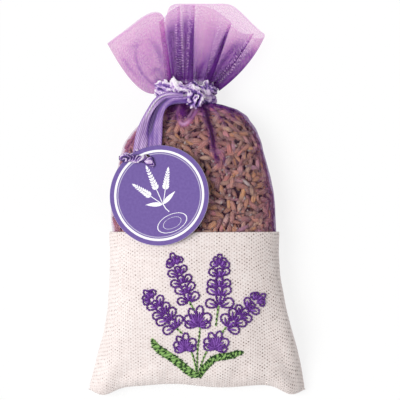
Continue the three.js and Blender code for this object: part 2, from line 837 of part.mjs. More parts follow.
// Spikes and florets: name, base and tip places as shares of the sprig's height, and size share
const spikeShares = [
  ['spike_inner_left', [-0.071, 0.603], [-0.21, 1], 0.92],
  ['spike_inner_right', [0.173, 0.573], [0.179, 1], 1.12],
  ['spike_outer_left', [-0.173, 0.397], [-0.438, 0.686], 0.98],
  ['spike_outer_right', [0.229, 0.406], [0.538, 0.665], 1],
];
const floretShares = [
  ['floret_middle', [-0.008, 0.398], [-0.008, 0.568], 1.08],
  ['floret_left', [-0.075, 0.209], [-0.14, 0.36], 0.9],
  ['floret_right', [0.11, 0.209], [0.17, 0.36], 0.96],
];
for (const [name, base, tip, size] of spikeShares) {
  sachet.add(part(name, spike(base, tip, size), 0x5f3590, 0.6));
}
for (const [name, base, tip, size] of floretShares) {
  sachet.add(part(name, floret(base, tip, size), 0x6a3c9c, 0.6));
}

// Stems and leaves: name, places as shares of the sprig's height, and steps
const stemShares = [
  ['stem_inner_left', [[-0.045, 0.588], [-0.026, 0.575]], 2],
  ['stem_inner_right', [[0.157, 0.377], [0.168, 0.46], [0.173, 0.557]], 4],
  ['stem_outer_left', [[-0.155, 0.375], [-0.168, 0.392]], 2],
  ['stem_outer_right', [[0.19, 0.374], [0.215, 0.394]], 2],
  ['stem_middle', [[-0.008, 0.03], [-0.012, 0.2], [-0.008, 0.385]], 8],
  ['stem_left', [[-0.034, 0.08], [-0.058, 0.14], [-0.073, 0.196]], 4],
  ['stem_right', [[0.026, 0.08], [0.066, 0.14], [0.104, 0.196]], 4],
];
const leafShares = [
  ['leaf_left', [[-0.045, 0.012], [-0.12, 0.07], [-0.24, 0.19], [-0.37, 0.33]], 1.1],
  ['leaf_right', [[0.035, 0.012], [0.1, 0.09], [0.2, 0.145], [0.37, 0.172]], 0.9],
];
for (const [name, route, steps] of stemShares) {
  sachet.add(part(name, stalk(route, stemWidth, () => 1, steps), 0x4f8a3c, 0.6));
}
for (const [name, route, size] of leafShares) {
  const widthAt = (share) => size * halfWave(leafSpanShares, share, leafRoundShare);
  sachet.add(part(name, stalk(route, leafWidth, widthAt, leafSteps), 0x3f8a36, 0.6));
}

export default sachet;
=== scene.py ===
import math

import bpy
import numpy as np
from mathutils import Matrix, Vector
from mathutils.bvhtree import BVHTree


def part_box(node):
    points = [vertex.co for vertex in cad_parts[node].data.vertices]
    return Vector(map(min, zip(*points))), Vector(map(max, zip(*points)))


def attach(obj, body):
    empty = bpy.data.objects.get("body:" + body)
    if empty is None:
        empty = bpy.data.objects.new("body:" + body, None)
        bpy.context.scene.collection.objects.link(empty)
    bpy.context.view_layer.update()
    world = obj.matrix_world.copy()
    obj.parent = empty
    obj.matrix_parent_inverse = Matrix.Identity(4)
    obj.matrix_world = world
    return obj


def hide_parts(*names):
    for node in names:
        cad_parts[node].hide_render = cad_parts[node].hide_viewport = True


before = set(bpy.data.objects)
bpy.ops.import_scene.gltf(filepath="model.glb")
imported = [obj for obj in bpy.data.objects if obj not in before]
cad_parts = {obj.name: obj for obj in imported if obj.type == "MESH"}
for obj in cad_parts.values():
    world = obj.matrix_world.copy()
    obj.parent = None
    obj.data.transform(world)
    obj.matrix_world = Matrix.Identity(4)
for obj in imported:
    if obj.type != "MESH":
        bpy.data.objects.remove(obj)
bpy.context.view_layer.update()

# Lavender sachet, in metres: a linen pocket and a sheer organza top over dried lavender, gathered by a
# satin ribbon, with a round card tag on the ribbon's tails and a stitched sprig on the linen.

# Photograph: its side in pixels, the pixel that the origin falls on, and metres for each pixel
IMAGE_SIDE = 400
ORIGIN_PIXEL = (197.0, 199.0)
PIXEL = 0.00044

# Camera and studio
LENS, SENSOR, CLIP_END = 300.0, 36.0, 10.0
SUN_STRENGTH, SUN_SPREAD, SUN_WAY = 2.27, math.radians(34), (0.58, -0.02, -1.0)
WORLD_FILL, FLOOR_GLOW, FLOOR_REACH, FLOOR_GREY = 0.40, 0.82, 3.0, 0.99

# Levels of the pouch, from the frame
linen_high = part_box("linen_front_panel")[1]
ring_low, ring_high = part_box("drawstring_ribbon")
CLOTH_GAP = 0.0003
LINEN_HEIGHT = 0.068
HEM_Y = linen_high.y
BOTTOM_Y = HEM_Y - LINEN_HEIGHT
NECK_Y = ring_low.y - CLOTH_GAP
NECK_TOP_Y = ring_high.y + CLOTH_GAP
SHOULDER_HEIGHT = NECK_Y - HEM_Y
EAR_HALF_WIDTH = linen_high.x

# Widths and heights of the pouch
HEM_HALF_WIDTH, HEM_OFFSET = 0.03745, -0.0012
NECK_HALF_WIDTH, NECK_OFFSET = 0.0133, -0.0053
SEAM_HEIGHT, EAR_HEIGHT, BOTTOM_SEAM_HEIGHT = 0.011, 0.0018, 0.0065
FRONT_CROWN, BACK_CROWN = 0.017, 0.016
NECK_FRONT_CROWN, NECK_BACK_CROWN = 0.0073, 0.007
BOTTOM_ROUND, HEM_STEP, HEM_LIFT = 0.020, 0.008, 0.001
EAR_DROP, BOTTOM_WAVE = 0.0041, 0.0008
EAR_PLACE_SHARE, EAR_WIDTH_SHARE = 0.88, 0.14
BOTTOM_LIFT_SHARE, SIDE_LIFT_SHARE = 0.35, 0.5
FULLNESS_SHARE = 2.3

# Cloth
LINEN_THICKNESS, LINEN_COLUMNS, LINEN_ROWS, LINEN_FILL = 0.0005, 200, 150, 0.7
HEM_FOLD_RADIUS, HEM_ALLOWANCE, SEAM_PUCKER = 0.0006, 0.008, 0.005
YARN_PITCH = 0.00055
HOLE_COLUMN, HOLE_ROW, HOLE_RADIUS = 0.0011, 0.00081, 0.00040
ORGANZA_INSET, ORGANZA_TUCK, ORGANZA_FLAT = 0.0014, 0.009, (0.078, 0.112)
FILM_STRENGTH, FILM_COVER, FILM_TONE = 0.40, 0.18, 0.34
DASH_PITCH, DASH_COLUMN = 0.00115, 0.0013
RUFFLE_COLUMNS, RUFFLE_ROWS, SHOULDER_ROWS, TUCK_ROWS, BRIDGE_STEPS = 330, 72, 96, 10, 9
RIM_SEAM_Z, FRONT_RIM_RISE, BACK_RIM_DROP = 0.0052, 0.0075, 0.0028
NECK_SEAT_Z, NECK_SEAT_RISE = 0.0103, 0.0062

# Lavender: each level's count, gap and painted shade, deeper levels darker, and how low the buds and the film
# may lie
BUD_LEVELS = ((860, 0.0023, -0.05), (620, 0.0021, 0.74), (400, 0.0021, 0.95))
RESTING_FILM_Z, LOWEST_BUD_Z, LOWEST_STALK_Z = 0.0007, 0.0016, 0.0012
BUD_SIDES, CORE_GRID, CORE_INSET = 8, 120, 0.0022
# The heap's gaps to the film at its left and its right edge, each at the hem and higher up
HEAP_GAPS = {1: ((0.0010, 0.0022), (-0.0001, 0.0003)), -1: ((0.0005, 0.0005), (0.0003, 0.0003))}
# Each measure's mean, spread, least and most; and how many stalks and crumbs each side has
BUD_LENGTH, BUD_WIDTH = (0.0060, 0.0010, 0.0040, 0.0080), (0.0022, 0.0003, 0.0015, 0.0029)
STALK_COUNTS, STALK_GAP = {1: (90, 900), -1: (40, 200)}, 0.0012

# Ribbon round the neck
RING_COLUMNS, RING_ROWS, RING_SQUARENESS, RING_THICKNESS = 640, 34, 0.87, 0.0003
KNOT_CENTRE, KNOT_SIZE, KNOT_GRID = (-0.0010, 0.0436, 0.0216), (0.0036, 0.0036, 0.0026), (60, 96)
KNOT_CURL = [(189, 106), (192.5, 103.5), (191.5, 99), (193.5, 95), (198, 94.5), (200.5, 98), (198, 102),
             (196.5, 106)]
# Each turn: its height up the neck, how tall it is and how far out, its seed, how far it leans, how far one
# fold of it stands up, how much wider its right end is, and the solid it replaces
RING_TURNS = (
    ("drawstring_upper_turn", 0.0484, 0.0050, 0.0006, 81, -0.0006, 0.0026, 0.0, ["drawstring_ribbon"]),
    ("drawstring_lower_turn", 0.0448, 0.0042, 0.0003, 86, -0.0016, 0.0, 0.25, []),
)

# Ribbon tails: routes in pixels of the photograph with heights in metres, from the knot to the tag's top
RIBBON_WIDTH, RIBBON_THICKNESS, BUNCHED_WIDTH, TIED_WIDTH = 0.0062, 0.00035, 0.0036, 0.0026
TAIL_TUCK, TAIL_CLEARANCE = 0.0030, 0.0013
TAIL_STEPS, TAIL_TUCK_STEPS, TAIL_COLUMNS = 110, 4, 24
TAIL_TURN, TAIL_LAST_TURN = math.radians(24), math.radians(8)
LEFT_TAIL_ROUTE = [
    (183, 96.3, 0.0226), (175.5, 96.0, 0.0227), (168, 96.6, 0.0222), (161.4, 99.2, 0.0212),
    (156.3, 103.8, 0.0204), (152.2, 110, 0.0200), (148.9, 117.5, 0.0200), (146.0, 125.6, 0.0206),
    (143.6, 134, 0.0214), (142.1, 141, 0.0221), (141.2, 147, 0.0227),
]
RIGHT_TAIL_ROUTE = [
    (199, 102.3, 0.0214), (198.4, 102, 0.0218), (191, 101.3, 0.0222), (183.5, 101.0, 0.0223),
    (176, 101.2, 0.0222), (169.4, 102.6, 0.0220), (164.2, 106, 0.0219), (160.4, 111.3, 0.0221),
    (158.0, 118.5, 0.0227), (156.4, 127, 0.0235), (155.6, 137, 0.0242), (155.2, 147, 0.0247),
]

# Card tag
TAG_RADIUS, TAG_THICKNESS, TAG_BEVEL, TAG_COLUMNS = 0.0219, 0.0008, 0.00014, 180
TAG_HOLE_RADIUS, TAG_HOLE_INSET = 0.0021, 0.005
TAG_HOLE_TURN = math.radians(19.4)
TAG_HOLE = np.array([-math.sin(TAG_HOLE_TURN), math.cos(TAG_HOLE_TURN)]) * (TAG_RADIUS - TAG_HOLE_INSET)
TAG_LEAN, TAG_DIP = math.radians(9.6), math.radians(4.6)
BROAD_RING_RADIUS, BROAD_RING_WIDTH = 0.0194, 0.00095
FINE_RING_RADIUS, FINE_RING_WIDTH = 0.01825, 0.0003
RING_SOFTNESS = 0.00008
INK_HEIGHT, INK_SINK = 0.00004, 0.00003
ORNAMENT_TILT = math.radians(24)
ORNAMENT_STEMS = (((0.0, -0.004), 90, 0.0165), ((-0.0006, -0.0035), 122, 0.0135),
                  ((0.0006, -0.0035), 58, 0.0135))
OVAL_SIZE, OVAL_PLACE, OVAL_COLUMNS = (0.0066, 0.0036), (0.0004, -0.0134), 72

# Rows of (place, left, right): how far each side has gone from its lower width to its upper one
LINEN_TAPER_SHARES = [
    (0, 0, 0), (0.2, 0.395, 0.231), (0.4, 0.79, 0.569),
    (0.6, 0.97, 0.836), (0.8, 1.03, 1), (1, 1, 1),
]
SHOULDER_TAPER_SHARES = [
    (0, 0, 0), (0.123, -0.03, 0.012), (0.246, -0.007, 0.027), (0.368, 0.012, 0.065),
    (0.491, 0.112, 0.126), (0.614, 0.197, 0.196), (0.738, 0.362, 0.267), (0.859, 0.681, 0.409),
    (0.93, 0.86, 0.56), (0.97, 0.95, 0.76), (1, 1, 1),
]
CROWN_TAPER_SHARES = [(0, 0), (0.25, 0.01), (0.5, 0.1), (0.7, 0.26), (0.86, 0.52), (0.95, 0.8), (1, 1)]

# Soft folds of the linen: a line in pixels of the photograph, how far it stands out, and its width
LINEN_CREASES = [
    ([(94, 386), (112, 368), (134, 350)], 0.0007, 0.0030),
    ([(106, 390), (128, 374), (150, 366)], -0.0007, 0.0026),
    ([(300, 388), (286, 366), (276, 338)], -0.0008, 0.0030),
    ([(296, 392), (272, 374), (246, 366)], 0.0006, 0.0028),
    ([(283, 300), (288, 336), (298, 372)], 0.0008, 0.0032),
    ([(230, 388), (236, 372), (250, 362)], -0.0005, 0.0030),
    ([(160, 388), (168, 374), (182, 366)], -0.0004, 0.0030),
    ([(112, 262), (116, 300), (108, 340)], -0.0005, 0.0032),
]

# Organza folds over the buds: a line in pixels, its width, how opaque it is, its tone, where above 1 a
# painted shadow lies in the fold, and its glint, a painted highlight
FILM_CREASES = [
    ([(203, 100), (205.5, 111), (208.5, 122), (212, 136), (214, 151), (219.6, 166)], 0.00120, 3.0, 1.15, 0),
    ([(200, 102), (203.5, 114), (206, 126)], 0.0008, 1.5, 0.95, 0),
    ([(209, 102), (217, 114), (226, 126)], 0.0008, 1.2, 0.8, 0),
    ([(215, 100), (228, 110), (240, 124)], 0.0009, 1.1, 0.7, 0),
    ([(212, 150), (222, 156), (226, 168)], 0.0010, 1.0, 0.8, 0),
    ([(163, 107), (170, 105), (182, 104)], 0.0022, 2.1, 1.05, 0),
    ([(164, 113), (170, 112), (176, 108)], 0.0016, 1.7, 1.05, 0),
    ([(187, 104), (183, 110), (182.5, 118)], 0.0021, 2.2, 0.95, 0),
    ([(192.5, 105), (190.5, 111), (187, 118)], 0.0011, 2.0, 1.1, 0),
    ([(185, 101), (180.5, 107), (177.5, 114), (178.4, 120)], 0.0007, 1.6, 0.7, 0.10),
    ([(178.5, 120.5), (182, 124.2), (187, 123), (191.6, 118)], 0.0011, 2.5, 0.4, 0.75),
    ([(180.5, 123), (184.5, 124.8), (189, 121.8)], 0.0004, 2.5, 0.1, 1.0),
    ([(190.5, 119.5), (195, 113), (198.5, 106)], 0.0008, 2.2, 0.55, 0.35),
    ([(193, 108), (191, 113), (187.6, 117.5)], 0.0004, 2.2, 0.2, 0.7),
    ([(197, 103), (200, 107), (203, 103)], 0.0012, 2.2, 0.85, 0),
]

# Ruffle rays, in pixels: the rim's place, the neck's x, how far the ray stands out, in millimetres, its tone
FRONT_RAYS = [
    (107, 43, 156, 0, 0.24), (113, 38.5, 157.5, 0.3, 0.28), (122, 32, 159, 1, 0.34),
    (132, 24.5, 161, 1.2, 0.36), (142, 17, 163, 0.8, 0.34), (152, 12.3, 165.5, 1.2, 0.32),
    (160, 12.8, 168.5, 2, 0.3), (163.5, 18, 170, 1.2, 0.4), (159, 22, 167, -0.6, 0.45),
    (163, 19, 169, -1, 0.7), (168, 13.5, 173, 0.2, 1.0), (174, 9, 177, 1.6, 0.9),
    (180, 6, 181, 2.2, 0.75), (177, 7.5, 178, 0.2, 0.75), (182, 5.5, 183, -0.6, 1.0),
    (188, 5, 187, 1, 1.0), (195, 5.5, 192, 2.4, 0.65), (191, 6, 189, 0.4, 0.65),
    (197, 6, 194, -0.4, 0.25), (205, 6.5, 198, 0.9, 0.13), (213, 9.5, 201, 1.6, 0.35),
    (219, 13, 204, 1.4, 0.45), (226, 18.5, 207, 2, 0.5), (231.5, 23.5, 210, 2.6, 0.9),
    (228, 25, 207.5, 0.6, 0.85), (233, 27, 210, -0.4, 0.45), (241, 33, 212, 0.8, 0.6),
    (249, 34, 214, 1.8, 0.9), (254, 33.5, 216, 2.2, 0.95), (250, 36, 213.5, 0.4, 0.9),
    (256, 38, 216, -0.3, 0.75), (262, 38, 218, 0.6, 0.6), (265, 36, 219, 0, 0.6),
]
BACK_RAYS = [
    (107, 43, 156, 0, 0.08), (116, 36.5, 158, 0.4, 0.1), (130, 26.5, 161, -0.3, 0.12),
    (145, 15.5, 164, 0.3, 0.15), (156, 12, 167, -0.4, 0.2), (163, 15, 170, 0.3, 0.3),
    (164.5, 21, 171, -0.2, 0.35), (166.5, 14, 173, 0.6, 0.3), (169, 6.5, 176, 0.2, 0.15),
    (175, 3, 179, -0.3, 0.12), (187, 2.6, 184, 0.5, 0.15), (200, 2.7, 190, -0.4, 0.15),
    (213, 2.7, 197, 0.4, 0.12), (226, 2.8, 203, -0.2, 0.08), (234, 5.5, 207, 0.4, 0.08),
    (243, 13, 211, -0.2, 0.1), (252, 22, 214, 0.4, 0.12), (260, 29.5, 216.5, 0, 0.2),
    (264.5, 33, 218, 0.2, 0.4), (265, 36, 219, 0, 0.6),
]
# Places among the front rays: dashed strips with their widths, and fold-backs that thin the film
DASHED_RAYS = ((11.9, 0.9), (13.3, 0.7), (15.4, 0.4), (21.6, 0.5), (27.4, 0.45), (29.6, 0.4))
FOLD_BACKS = ((8.5, 0.65, -0.6), (13.2, 0.2, 0.5), (17.2, 0.2, 0.5), (24.2, 0.1, 0.4), (29.2, 0.1, 0.4))

# How far the fan's two side edges start below its middle, and how far they bow out of a straight line
SIDE_DROPS = (0.0066, 0.0054)
SIDE_BOWS = ((0.0024, -0.0126), (0.0035, -0.0015))

# Soft folds of the fan: a line in pixels of the photograph, its width and how much darker it is
FAN_FOLDS = [
    ([(137, 46), (135.5, 56), (139, 68), (147, 79), (157, 88)], 0.0006, 0.40),
    ([(150, 74), (156, 69.5), (161, 73), (164, 83)], 0.0010, 0.36),
    ([(127, 48), (133, 46), (140, 42)], 0.0015, 0.25),
    ([(152, 84), (158, 80), (163, 84)], 0.0010, 0.3),
    ([(150, 40), (158, 50), (163, 66)], 0.0013, 0.3),
    ([(120, 52), (128, 66), (140, 80)], 0.0010, 0.25),
    ([(193, 20), (192.5, 45), (192, 76)], 0.0009, 0.30),
    ([(207, 58), (200, 70), (195, 82)], 0.0010, 0.35),
    ([(231.5, 24), (222, 42), (213, 62), (207, 78)], 0.0006, 0.35),
    ([(180, 80), (192, 77), (206, 80)], 0.0036, 0.30),
    ([(242, 37), (230, 52), (216, 72)], 0.0013, 0.35),
]

# The stitched sprig, in pixels of the photograph
PETAL_THREAD, SIDE_THREAD, DASH_THREAD, LEAF_THREAD = 0.00050, 0.00040, 0.00036, 0.00021
PETAL_PITCH, STEM_PITCH, THREAD_SIDES, LEAF_STEPS = 0.0014, 0.0019, 5, 84
SPIKES = [
    ("spike_inner_left", (189.3, 301), (171.6, 252.6), 0.0098, 0.0078, 11),
    ("spike_inner_right", (218.8, 304.6), (219.5, 253.2), 0.0116, 0.0082, 12),
    ("spike_outer_left", (176.5, 326), (144, 290), 0.0104, 0.0074, 13),
    ("spike_outer_right", (226.5, 326), (264, 292.5), 0.0104, 0.0074, 14),
]
FLORETS = [
    ("floret_middle", (197.5, 314.8), 27, 20, 21, 0.0),
    ("floret_left", (185.5, 338.6), 23, 21, 22, 0.12),
    ("floret_right", (215, 336.7), 25, 23, 23, -0.12),
]
STEMS = [
    ("stem_inner_left", [(189.3, 300), (191.5, 304), (194.6, 309.5)]),
    ("stem_inner_right", [(218.5, 304.5), (217, 314), (215.6, 325)]),
    ("stem_outer_left", [(175.6, 326), (179, 329), (182.5, 332.5)]),
    ("stem_outer_right", [(226, 325.5), (223.6, 328.5), (221.5, 332)]),
    ("stem_middle", [(200.2, 325), (199, 338), (197.4, 352), (197.2, 372)]),
    ("stem_left", [(190, 347.5), (193.4, 357), (196.2, 370)]),
    ("stem_right", [(209.4, 346), (204.8, 354), (201.4, 363), (199.4, 370)]),
]
LEAVES = [
    ("leaf_left", [(152.4, 336.8), (159.5, 348), (174, 358), (188, 369.5), (198, 377)], 0.0037, 31),
    ("leaf_right", [(243.6, 351.6), (229, 354.6), (215, 357.4), (205.4, 366), (198.4, 375)], 0.0031, 32),
]
# Petals as (degrees from the axis, length, width), in shares of the tier's width; a floret's also have
# the number of threads in their core, less one
TIER_PETALS = [(60, 0.48, 0.33), (-60, 0.48, 0.33), (0, 0.44, 0.30)]
ODD_TIER_PETALS = [(46, 0.52, 0.33), (-46, 0.52, 0.33), (0, 0.38, 0.27)]
TOP_PETALS = [(72, 0.43, 0.31), (-72, 0.43, 0.31), (26, 0.46, 0.27), (-26, 0.46, 0.27), (0, 0.62, 0.27)]
FLORET_PETALS = [(-8, 0.86, 0.30, 2), (24, 0.80, 0.28, 1), (82, 0.54, 0.30, 1), (-82, 0.54, 0.30, 1),
                 (54, 0.66, 0.36, 1), (-48, 0.72, 0.40, 1)]


# Numbers and curves
def mix(a, b, t):
    return a + (b - a) * t


def ease(t, low=0.0, high=1.0):
    t = np.clip((np.asarray(t, float) - low) / (high - low), 0, 1)
    return t * t * (3 - 2 * t)


def bell(off, width=1.0, power=2):
    return np.exp(-((off / width) ** power))


def unit(v):
    return v / np.maximum(np.linalg.norm(v, axis=-1, keepdims=True), 1e-12)


def gone_along(points):
    """The distance gone at each point of a line."""
    return np.r_[0, np.cumsum(np.linalg.norm(np.diff(points, axis=0), axis=1))]


def pointing(angle):
    return np.array([math.cos(angle), math.sin(angle)])


def to_left(ahead):
    return np.stack([-ahead[..., 1], ahead[..., 0]], -1)


def paired(a, b):
    return np.stack(np.broadcast_arrays(a, b), -1)


def raised(points, z):
    return np.column_stack([points, np.full(len(points), z)])


def through(rows, column, place):
    """The smooth curve through one column of rows that start with their place."""
    table = np.array(rows, float)
    at, value = table[:, 0], table[:, column]
    before, after = np.r_[0, 0:len(at) - 1], np.r_[1:len(at), len(at) - 1]
    slope = (value[after] - value[before]) / (at[after] - at[before])
    place = np.asarray(place, float)
    k = np.clip(np.searchsorted(at, place, side="right") - 1, 0, len(at) - 2)
    span = at[k + 1] - at[k]
    t = np.clip((place - at[k]) / span, 0, 1)
    start = value[k] + slope[k] * span * t
    end = value[k + 1] - slope[k + 1] * span * (1 - t)
    return mix(start, end, ease(t))


def ripples(x, y, pitch, seed, waves=9, z=0.0):
    """Smooth noise of about that pitch, from a few plane waves, mostly between -1 and 1."""
    rng = np.random.default_rng(seed)
    total = 0
    for _ in range(waves):
        angle, phase, stretch = rng.uniform(0, math.pi), rng.uniform(0, math.tau), rng.uniform(0.75, 1.35)
        deep = rng.uniform(-1, 1)
        gone = (x * math.cos(angle) + y * math.sin(angle) + z * deep) / (pitch * stretch)
        total = total + np.sin(math.tau * gone + phase)
    return total / math.sqrt(waves)


def crumple(x, y, pitch, seed, z=0.0):
    """Folds of thin stiff cloth: smooth hollows between sharp ridges, from about -1 to 1."""
    shift = 0.35 * pitch * ripples(x, y, pitch * 2.1, seed, 6, z)
    total = 0
    for k, (share, finer) in enumerate(((0.62, 1.0), (0.27, 2.2), (0.11, 4.6))):
        part = ripples(x + shift, y - shift, pitch / finer, seed + 1 + k, 5, z)
        total = total + share * (1 - 2 * np.clip(np.abs(part), 0, 1))
    return total


def from_pixel(px, py):
    """The place in the row frame, at any height, that a pixel of the photograph shows."""
    return (px - ORIGIN_PIXEL[0]) * PIXEL, (ORIGIN_PIXEL[1] - py) * PIXEL


def from_pixels(line):
    return [from_pixel(*p) for p in line]


def hermite(a, b, u, v, t):
    """The cubic from a to b that leaves along u and arrives along v."""
    h = (2 * t ** 3 - 3 * t ** 2 + 1) * a + (t ** 3 - 2 * t ** 2 + t) * u
    return h + (3 * t ** 2 - 2 * t ** 3) * b + (t ** 3 - t ** 2) * v


def smooth_line(points, steps):
    """Evenly spaced points on a smooth curve through the given ones."""
    p = np.array(points, float)
    tangent = np.gradient(p, axis=0)
    t = np.linspace(0, 1, 24, endpoint=False)[:, None]
    fine = [hermite(p[k], p[k + 1], tangent[k], tangent[k + 1], t) for k in range(len(p) - 1)]
    fine = np.vstack(fine + [p[-1:]])
    gone = gone_along(fine)
    at = np.linspace(0, gone[-1], steps + 1)
    return np.stack([np.interp(at, gone, fine[:, i]) for i in range(p.shape[1])], 1)


def resampled(rows, count):
    """Rows of numbers, evenly resampled by index on a smooth curve through them."""
    table = np.array(rows, float)
    at = np.linspace(0, len(table) - 1, count)
    k = np.clip(at.astype(int), 0, len(table) - 2)
    before, after = table[np.maximum(k - 1, 0)], table[np.minimum(k + 2, len(table) - 1)]
    a, b = table[k], table[k + 1]
    return hermite(a, b, (b - before) / 2, (after - a) / 2, (at - k)[:, None])


def near(line, x, y):
    """Distance of each point to a line of (x, y) points, and how far along it the nearest place is."""
    line = np.array(line, float)
    gone = gone_along(line)
    gone = gone / gone[-1]
    best, share = np.full(np.shape(x), 1e9), np.zeros(np.shape(x))
    for k in range(len(line) - 1):
        a, d = line[k], line[k + 1] - line[k]
        t = np.clip(((x - a[0]) * d[0] + (y - a[1]) * d[1]) / (d @ d), 0, 1)
        off = np.hypot(x - a[0] - t * d[0], y - a[1] - t * d[1])
        closer = off < best
        best = np.where(closer, off, best)
        share = np.where(closer, mix(gone[k], gone[k + 1], t), share)
    return best, share


def ridge_along(line, width, x, y, end, power):
    """1 on a line and 0 away from it, falling off towards both of its ends."""
    off, share = near(line, x, y)
    return bell(off, width) * np.sin(math.pi * np.clip(share, end, 1 - end)) ** power


# The pouch's surfaces: x runs from the left seam, -1, to the right one, 1, and y is in metres
def arch(x):
    return (1 - np.minimum(np.abs(x), 1) ** FULLNESS_SHARE) ** (1 / FULLNESS_SHARE)


def round_up(t):
    return (1 - (1 - np.clip(t, 0, 1)) ** FULLNESS_SHARE) ** (1 / FULLNESS_SHARE)


def from_swing(swing):
    """Places across the pouch, closer together at the seams."""
    return -np.sign(swing) * np.abs(swing) ** (2 / FULLNESS_SHARE)


def across(count):
    return from_swing(np.cos(np.pi * np.linspace(0, 1, count + 1)))


def bottom_edge(x):
    ear = bell(np.abs(x) - EAR_PLACE_SHARE, EAR_WIDTH_SHARE)
    return BOTTOM_Y - EAR_DROP * ear - BOTTOM_WAVE * np.sin(math.tau * x) * (1 - x * x)


def seams(y):
    """The x of the left and the right seam at a height."""
    low = np.clip((y - BOTTOM_Y) / LINEN_HEIGHT, 0, 1)
    high = np.clip((y - HEM_Y) / SHOULDER_HEIGHT, 0, 1)
    found = []
    for column, way in ((1, -1), (2, 1)):
        hem, neck = HEM_OFFSET + way * HEM_HALF_WIDTH, NECK_OFFSET + way * NECK_HALF_WIDTH
        below = mix(way * EAR_HALF_WIDTH, hem, through(LINEN_TAPER_SHARES, column, low))
        above = mix(hem, neck, through(SHOULDER_TAPER_SHARES, column, high))
        found.append(np.where(y < HEM_Y, below, above))
    return found


def parting(x, y):
    """The height at which the front and the back of the pouch meet."""
    up = (y - bottom_edge(x)) / LINEN_HEIGHT
    at_bottom = mix(EAR_HEIGHT, BOTTOM_SEAM_HEIGHT, arch(x))
    at_sides = mix(EAR_HEIGHT, SEAM_HEIGHT, ease(up, 0, SIDE_LIFT_SHARE))
    return mix(at_bottom, at_sides, ease(up, 0, BOTTOM_LIFT_SHARE))


def crown(y, at_hem, at_neck):
    place_up = np.clip((y - HEM_Y) / SHOULDER_HEIGHT, 0, 1)
    return mix(at_hem, at_neck, through(CROWN_TAPER_SHARES, 1, place_up))


def pouch_point(x, y, inset, at_hem, at_neck, side):
    left, right = seams(y)
    swell = arch(x) * round_up((y - bottom_edge(x) - inset) / BOTTOM_ROUND)
    rise = (crown(y, at_hem, at_neck) - inset) * swell
    px = mix(left + inset, right - inset, (x + 1) / 2)
    return np.stack([px, y + 0 * x, parting(x, y) + side * rise], -1)


def front_point(x, y, inset):
    return pouch_point(x, y, inset, FRONT_CROWN, NECK_FRONT_CROWN, 1)


def back_point(x, y, inset):
    points = pouch_point(x, y, inset, BACK_CROWN, NECK_BACK_CROWN, -1)
    rest = inset - HEM_LIFT * ease(y, HEM_Y, HEM_Y + HEM_STEP)
    points[..., 2] = np.maximum(rest, points[..., 2])
    return points


SIDES = (("front", front_point, 1), ("back", back_point, -1))


# Meshes
def new_object(name, verts, faces, attributes=None, uv=None, smooth=True):
    """An object from arrays; attributes hold one number for each vertex, and uv one pair."""
    mesh = bpy.data.meshes.new(name)
    mesh.from_pydata(np.asarray(verts, float).tolist(), [], [tuple(int(i) for i in f) for f in faces])
    for key, values in (attributes or {}).items():
        layer = mesh.attributes.new(key, "FLOAT", "POINT")
        layer.data.foreach_set("value", np.asarray(values, np.float32).ravel())
    if uv is not None:
        corner = np.zeros(len(mesh.loops), np.int32)
        mesh.loops.foreach_get("vertex_index", corner)
        layer = mesh.uv_layers.new(name="cloth")
        layer.data.foreach_set("uv", np.asarray(uv, np.float32).reshape(-1, 2)[corner].ravel())
    mesh.polygons.foreach_set("use_smooth", [smooth] * len(mesh.polygons))
    mesh.update()
    made = bpy.data.objects.new(name, mesh)
    bpy.context.scene.collection.objects.link(made)
    return made


def grid_faces(rows, columns, start=0, ring=False, loop=False):
    """Quads of a grid of points; a ring joins the last column to the first, and a loop the last row."""
    index = np.arange(rows * columns).reshape(rows, columns) + start
    if ring:
        index = np.concatenate([index, index[:, :1]], 1)
    if loop:
        index = np.concatenate([index, index[:1]])
    return np.stack([index[:-1, :-1], index[:-1, 1:], index[1:, 1:], index[1:, :-1]], -1).reshape(-1, 4)


def closed_faces(rows, columns, start=0, turn=1, ends=1):
    """Quads of a ring grid with a face at both ends; turn and ends of -1 turn them round."""
    first = list(range(start, start + columns))
    last = [(rows - 1) * columns + k for k in first]
    faces = grid_faces(rows, columns, start, ring=True)[:, ::turn].tolist()
    return faces + [first[::-turn * ends], last[::turn * ends]]


def normals(points, side=1):
    """Normals of a grid of points, towards the front for side 1 and towards the back for side -1."""
    return unit(np.cross(np.gradient(points, axis=1), np.gradient(points, axis=0))) * side


def grid_object(name, points, side, attributes=None):
    """A sheet from a grid of points, facing front or back; its map holds distances in metres for a weave."""
    rows, columns = points.shape[:2]
    along = np.linalg.norm(np.diff(points, axis=1), axis=2)
    up = np.linalg.norm(np.diff(points, axis=0), axis=2)
    u = np.concatenate([np.zeros((rows, 1)), np.cumsum(along, 1)], 1)
    v = np.concatenate([np.zeros((1, columns)), np.cumsum(up, 0)], 0)
    uv = np.stack([u - u[:, columns // 2][:, None], v], -1)
    return new_object(name, points.reshape(-1, 3), grid_faces(rows, columns)[:, ::side], attributes, uv)


def thicken(obj, thickness):
    solid = obj.modifiers.new("thickness", "SOLIDIFY")
    solid.thickness, solid.offset, solid.use_even_offset = thickness, -1.0, False


def place(obj, material, body, slot, *nodes):
    obj.data.materials.append(material)
    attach(obj, body)
    if nodes:
        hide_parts(*nodes)


# Shader nodes
def node(tree, kind, inputs=(), output=0, **settings):
    """A new shader node with its inputs joined or set; what it gives is one of its outputs."""
    made = tree.nodes.new("ShaderNode" + kind)
    for key, value in settings.items():
        setattr(made, key, value)
    for key, value in dict(inputs).items():
        value = getattr(value, "socket", value)
        if isinstance(value, bpy.types.NodeSocket):
            tree.links.new(value, made.inputs[key])
        else:
            made.inputs[key].default_value = value
    return Wire(tree, made.outputs[output]) if made.outputs else None


def arithmetic(operation, swapped=False):
    def act(self, other):
        pair = (other, self) if swapped else (self, other)
        return node(self.tree, "Math", enumerate(pair), operation=operation)
    return act


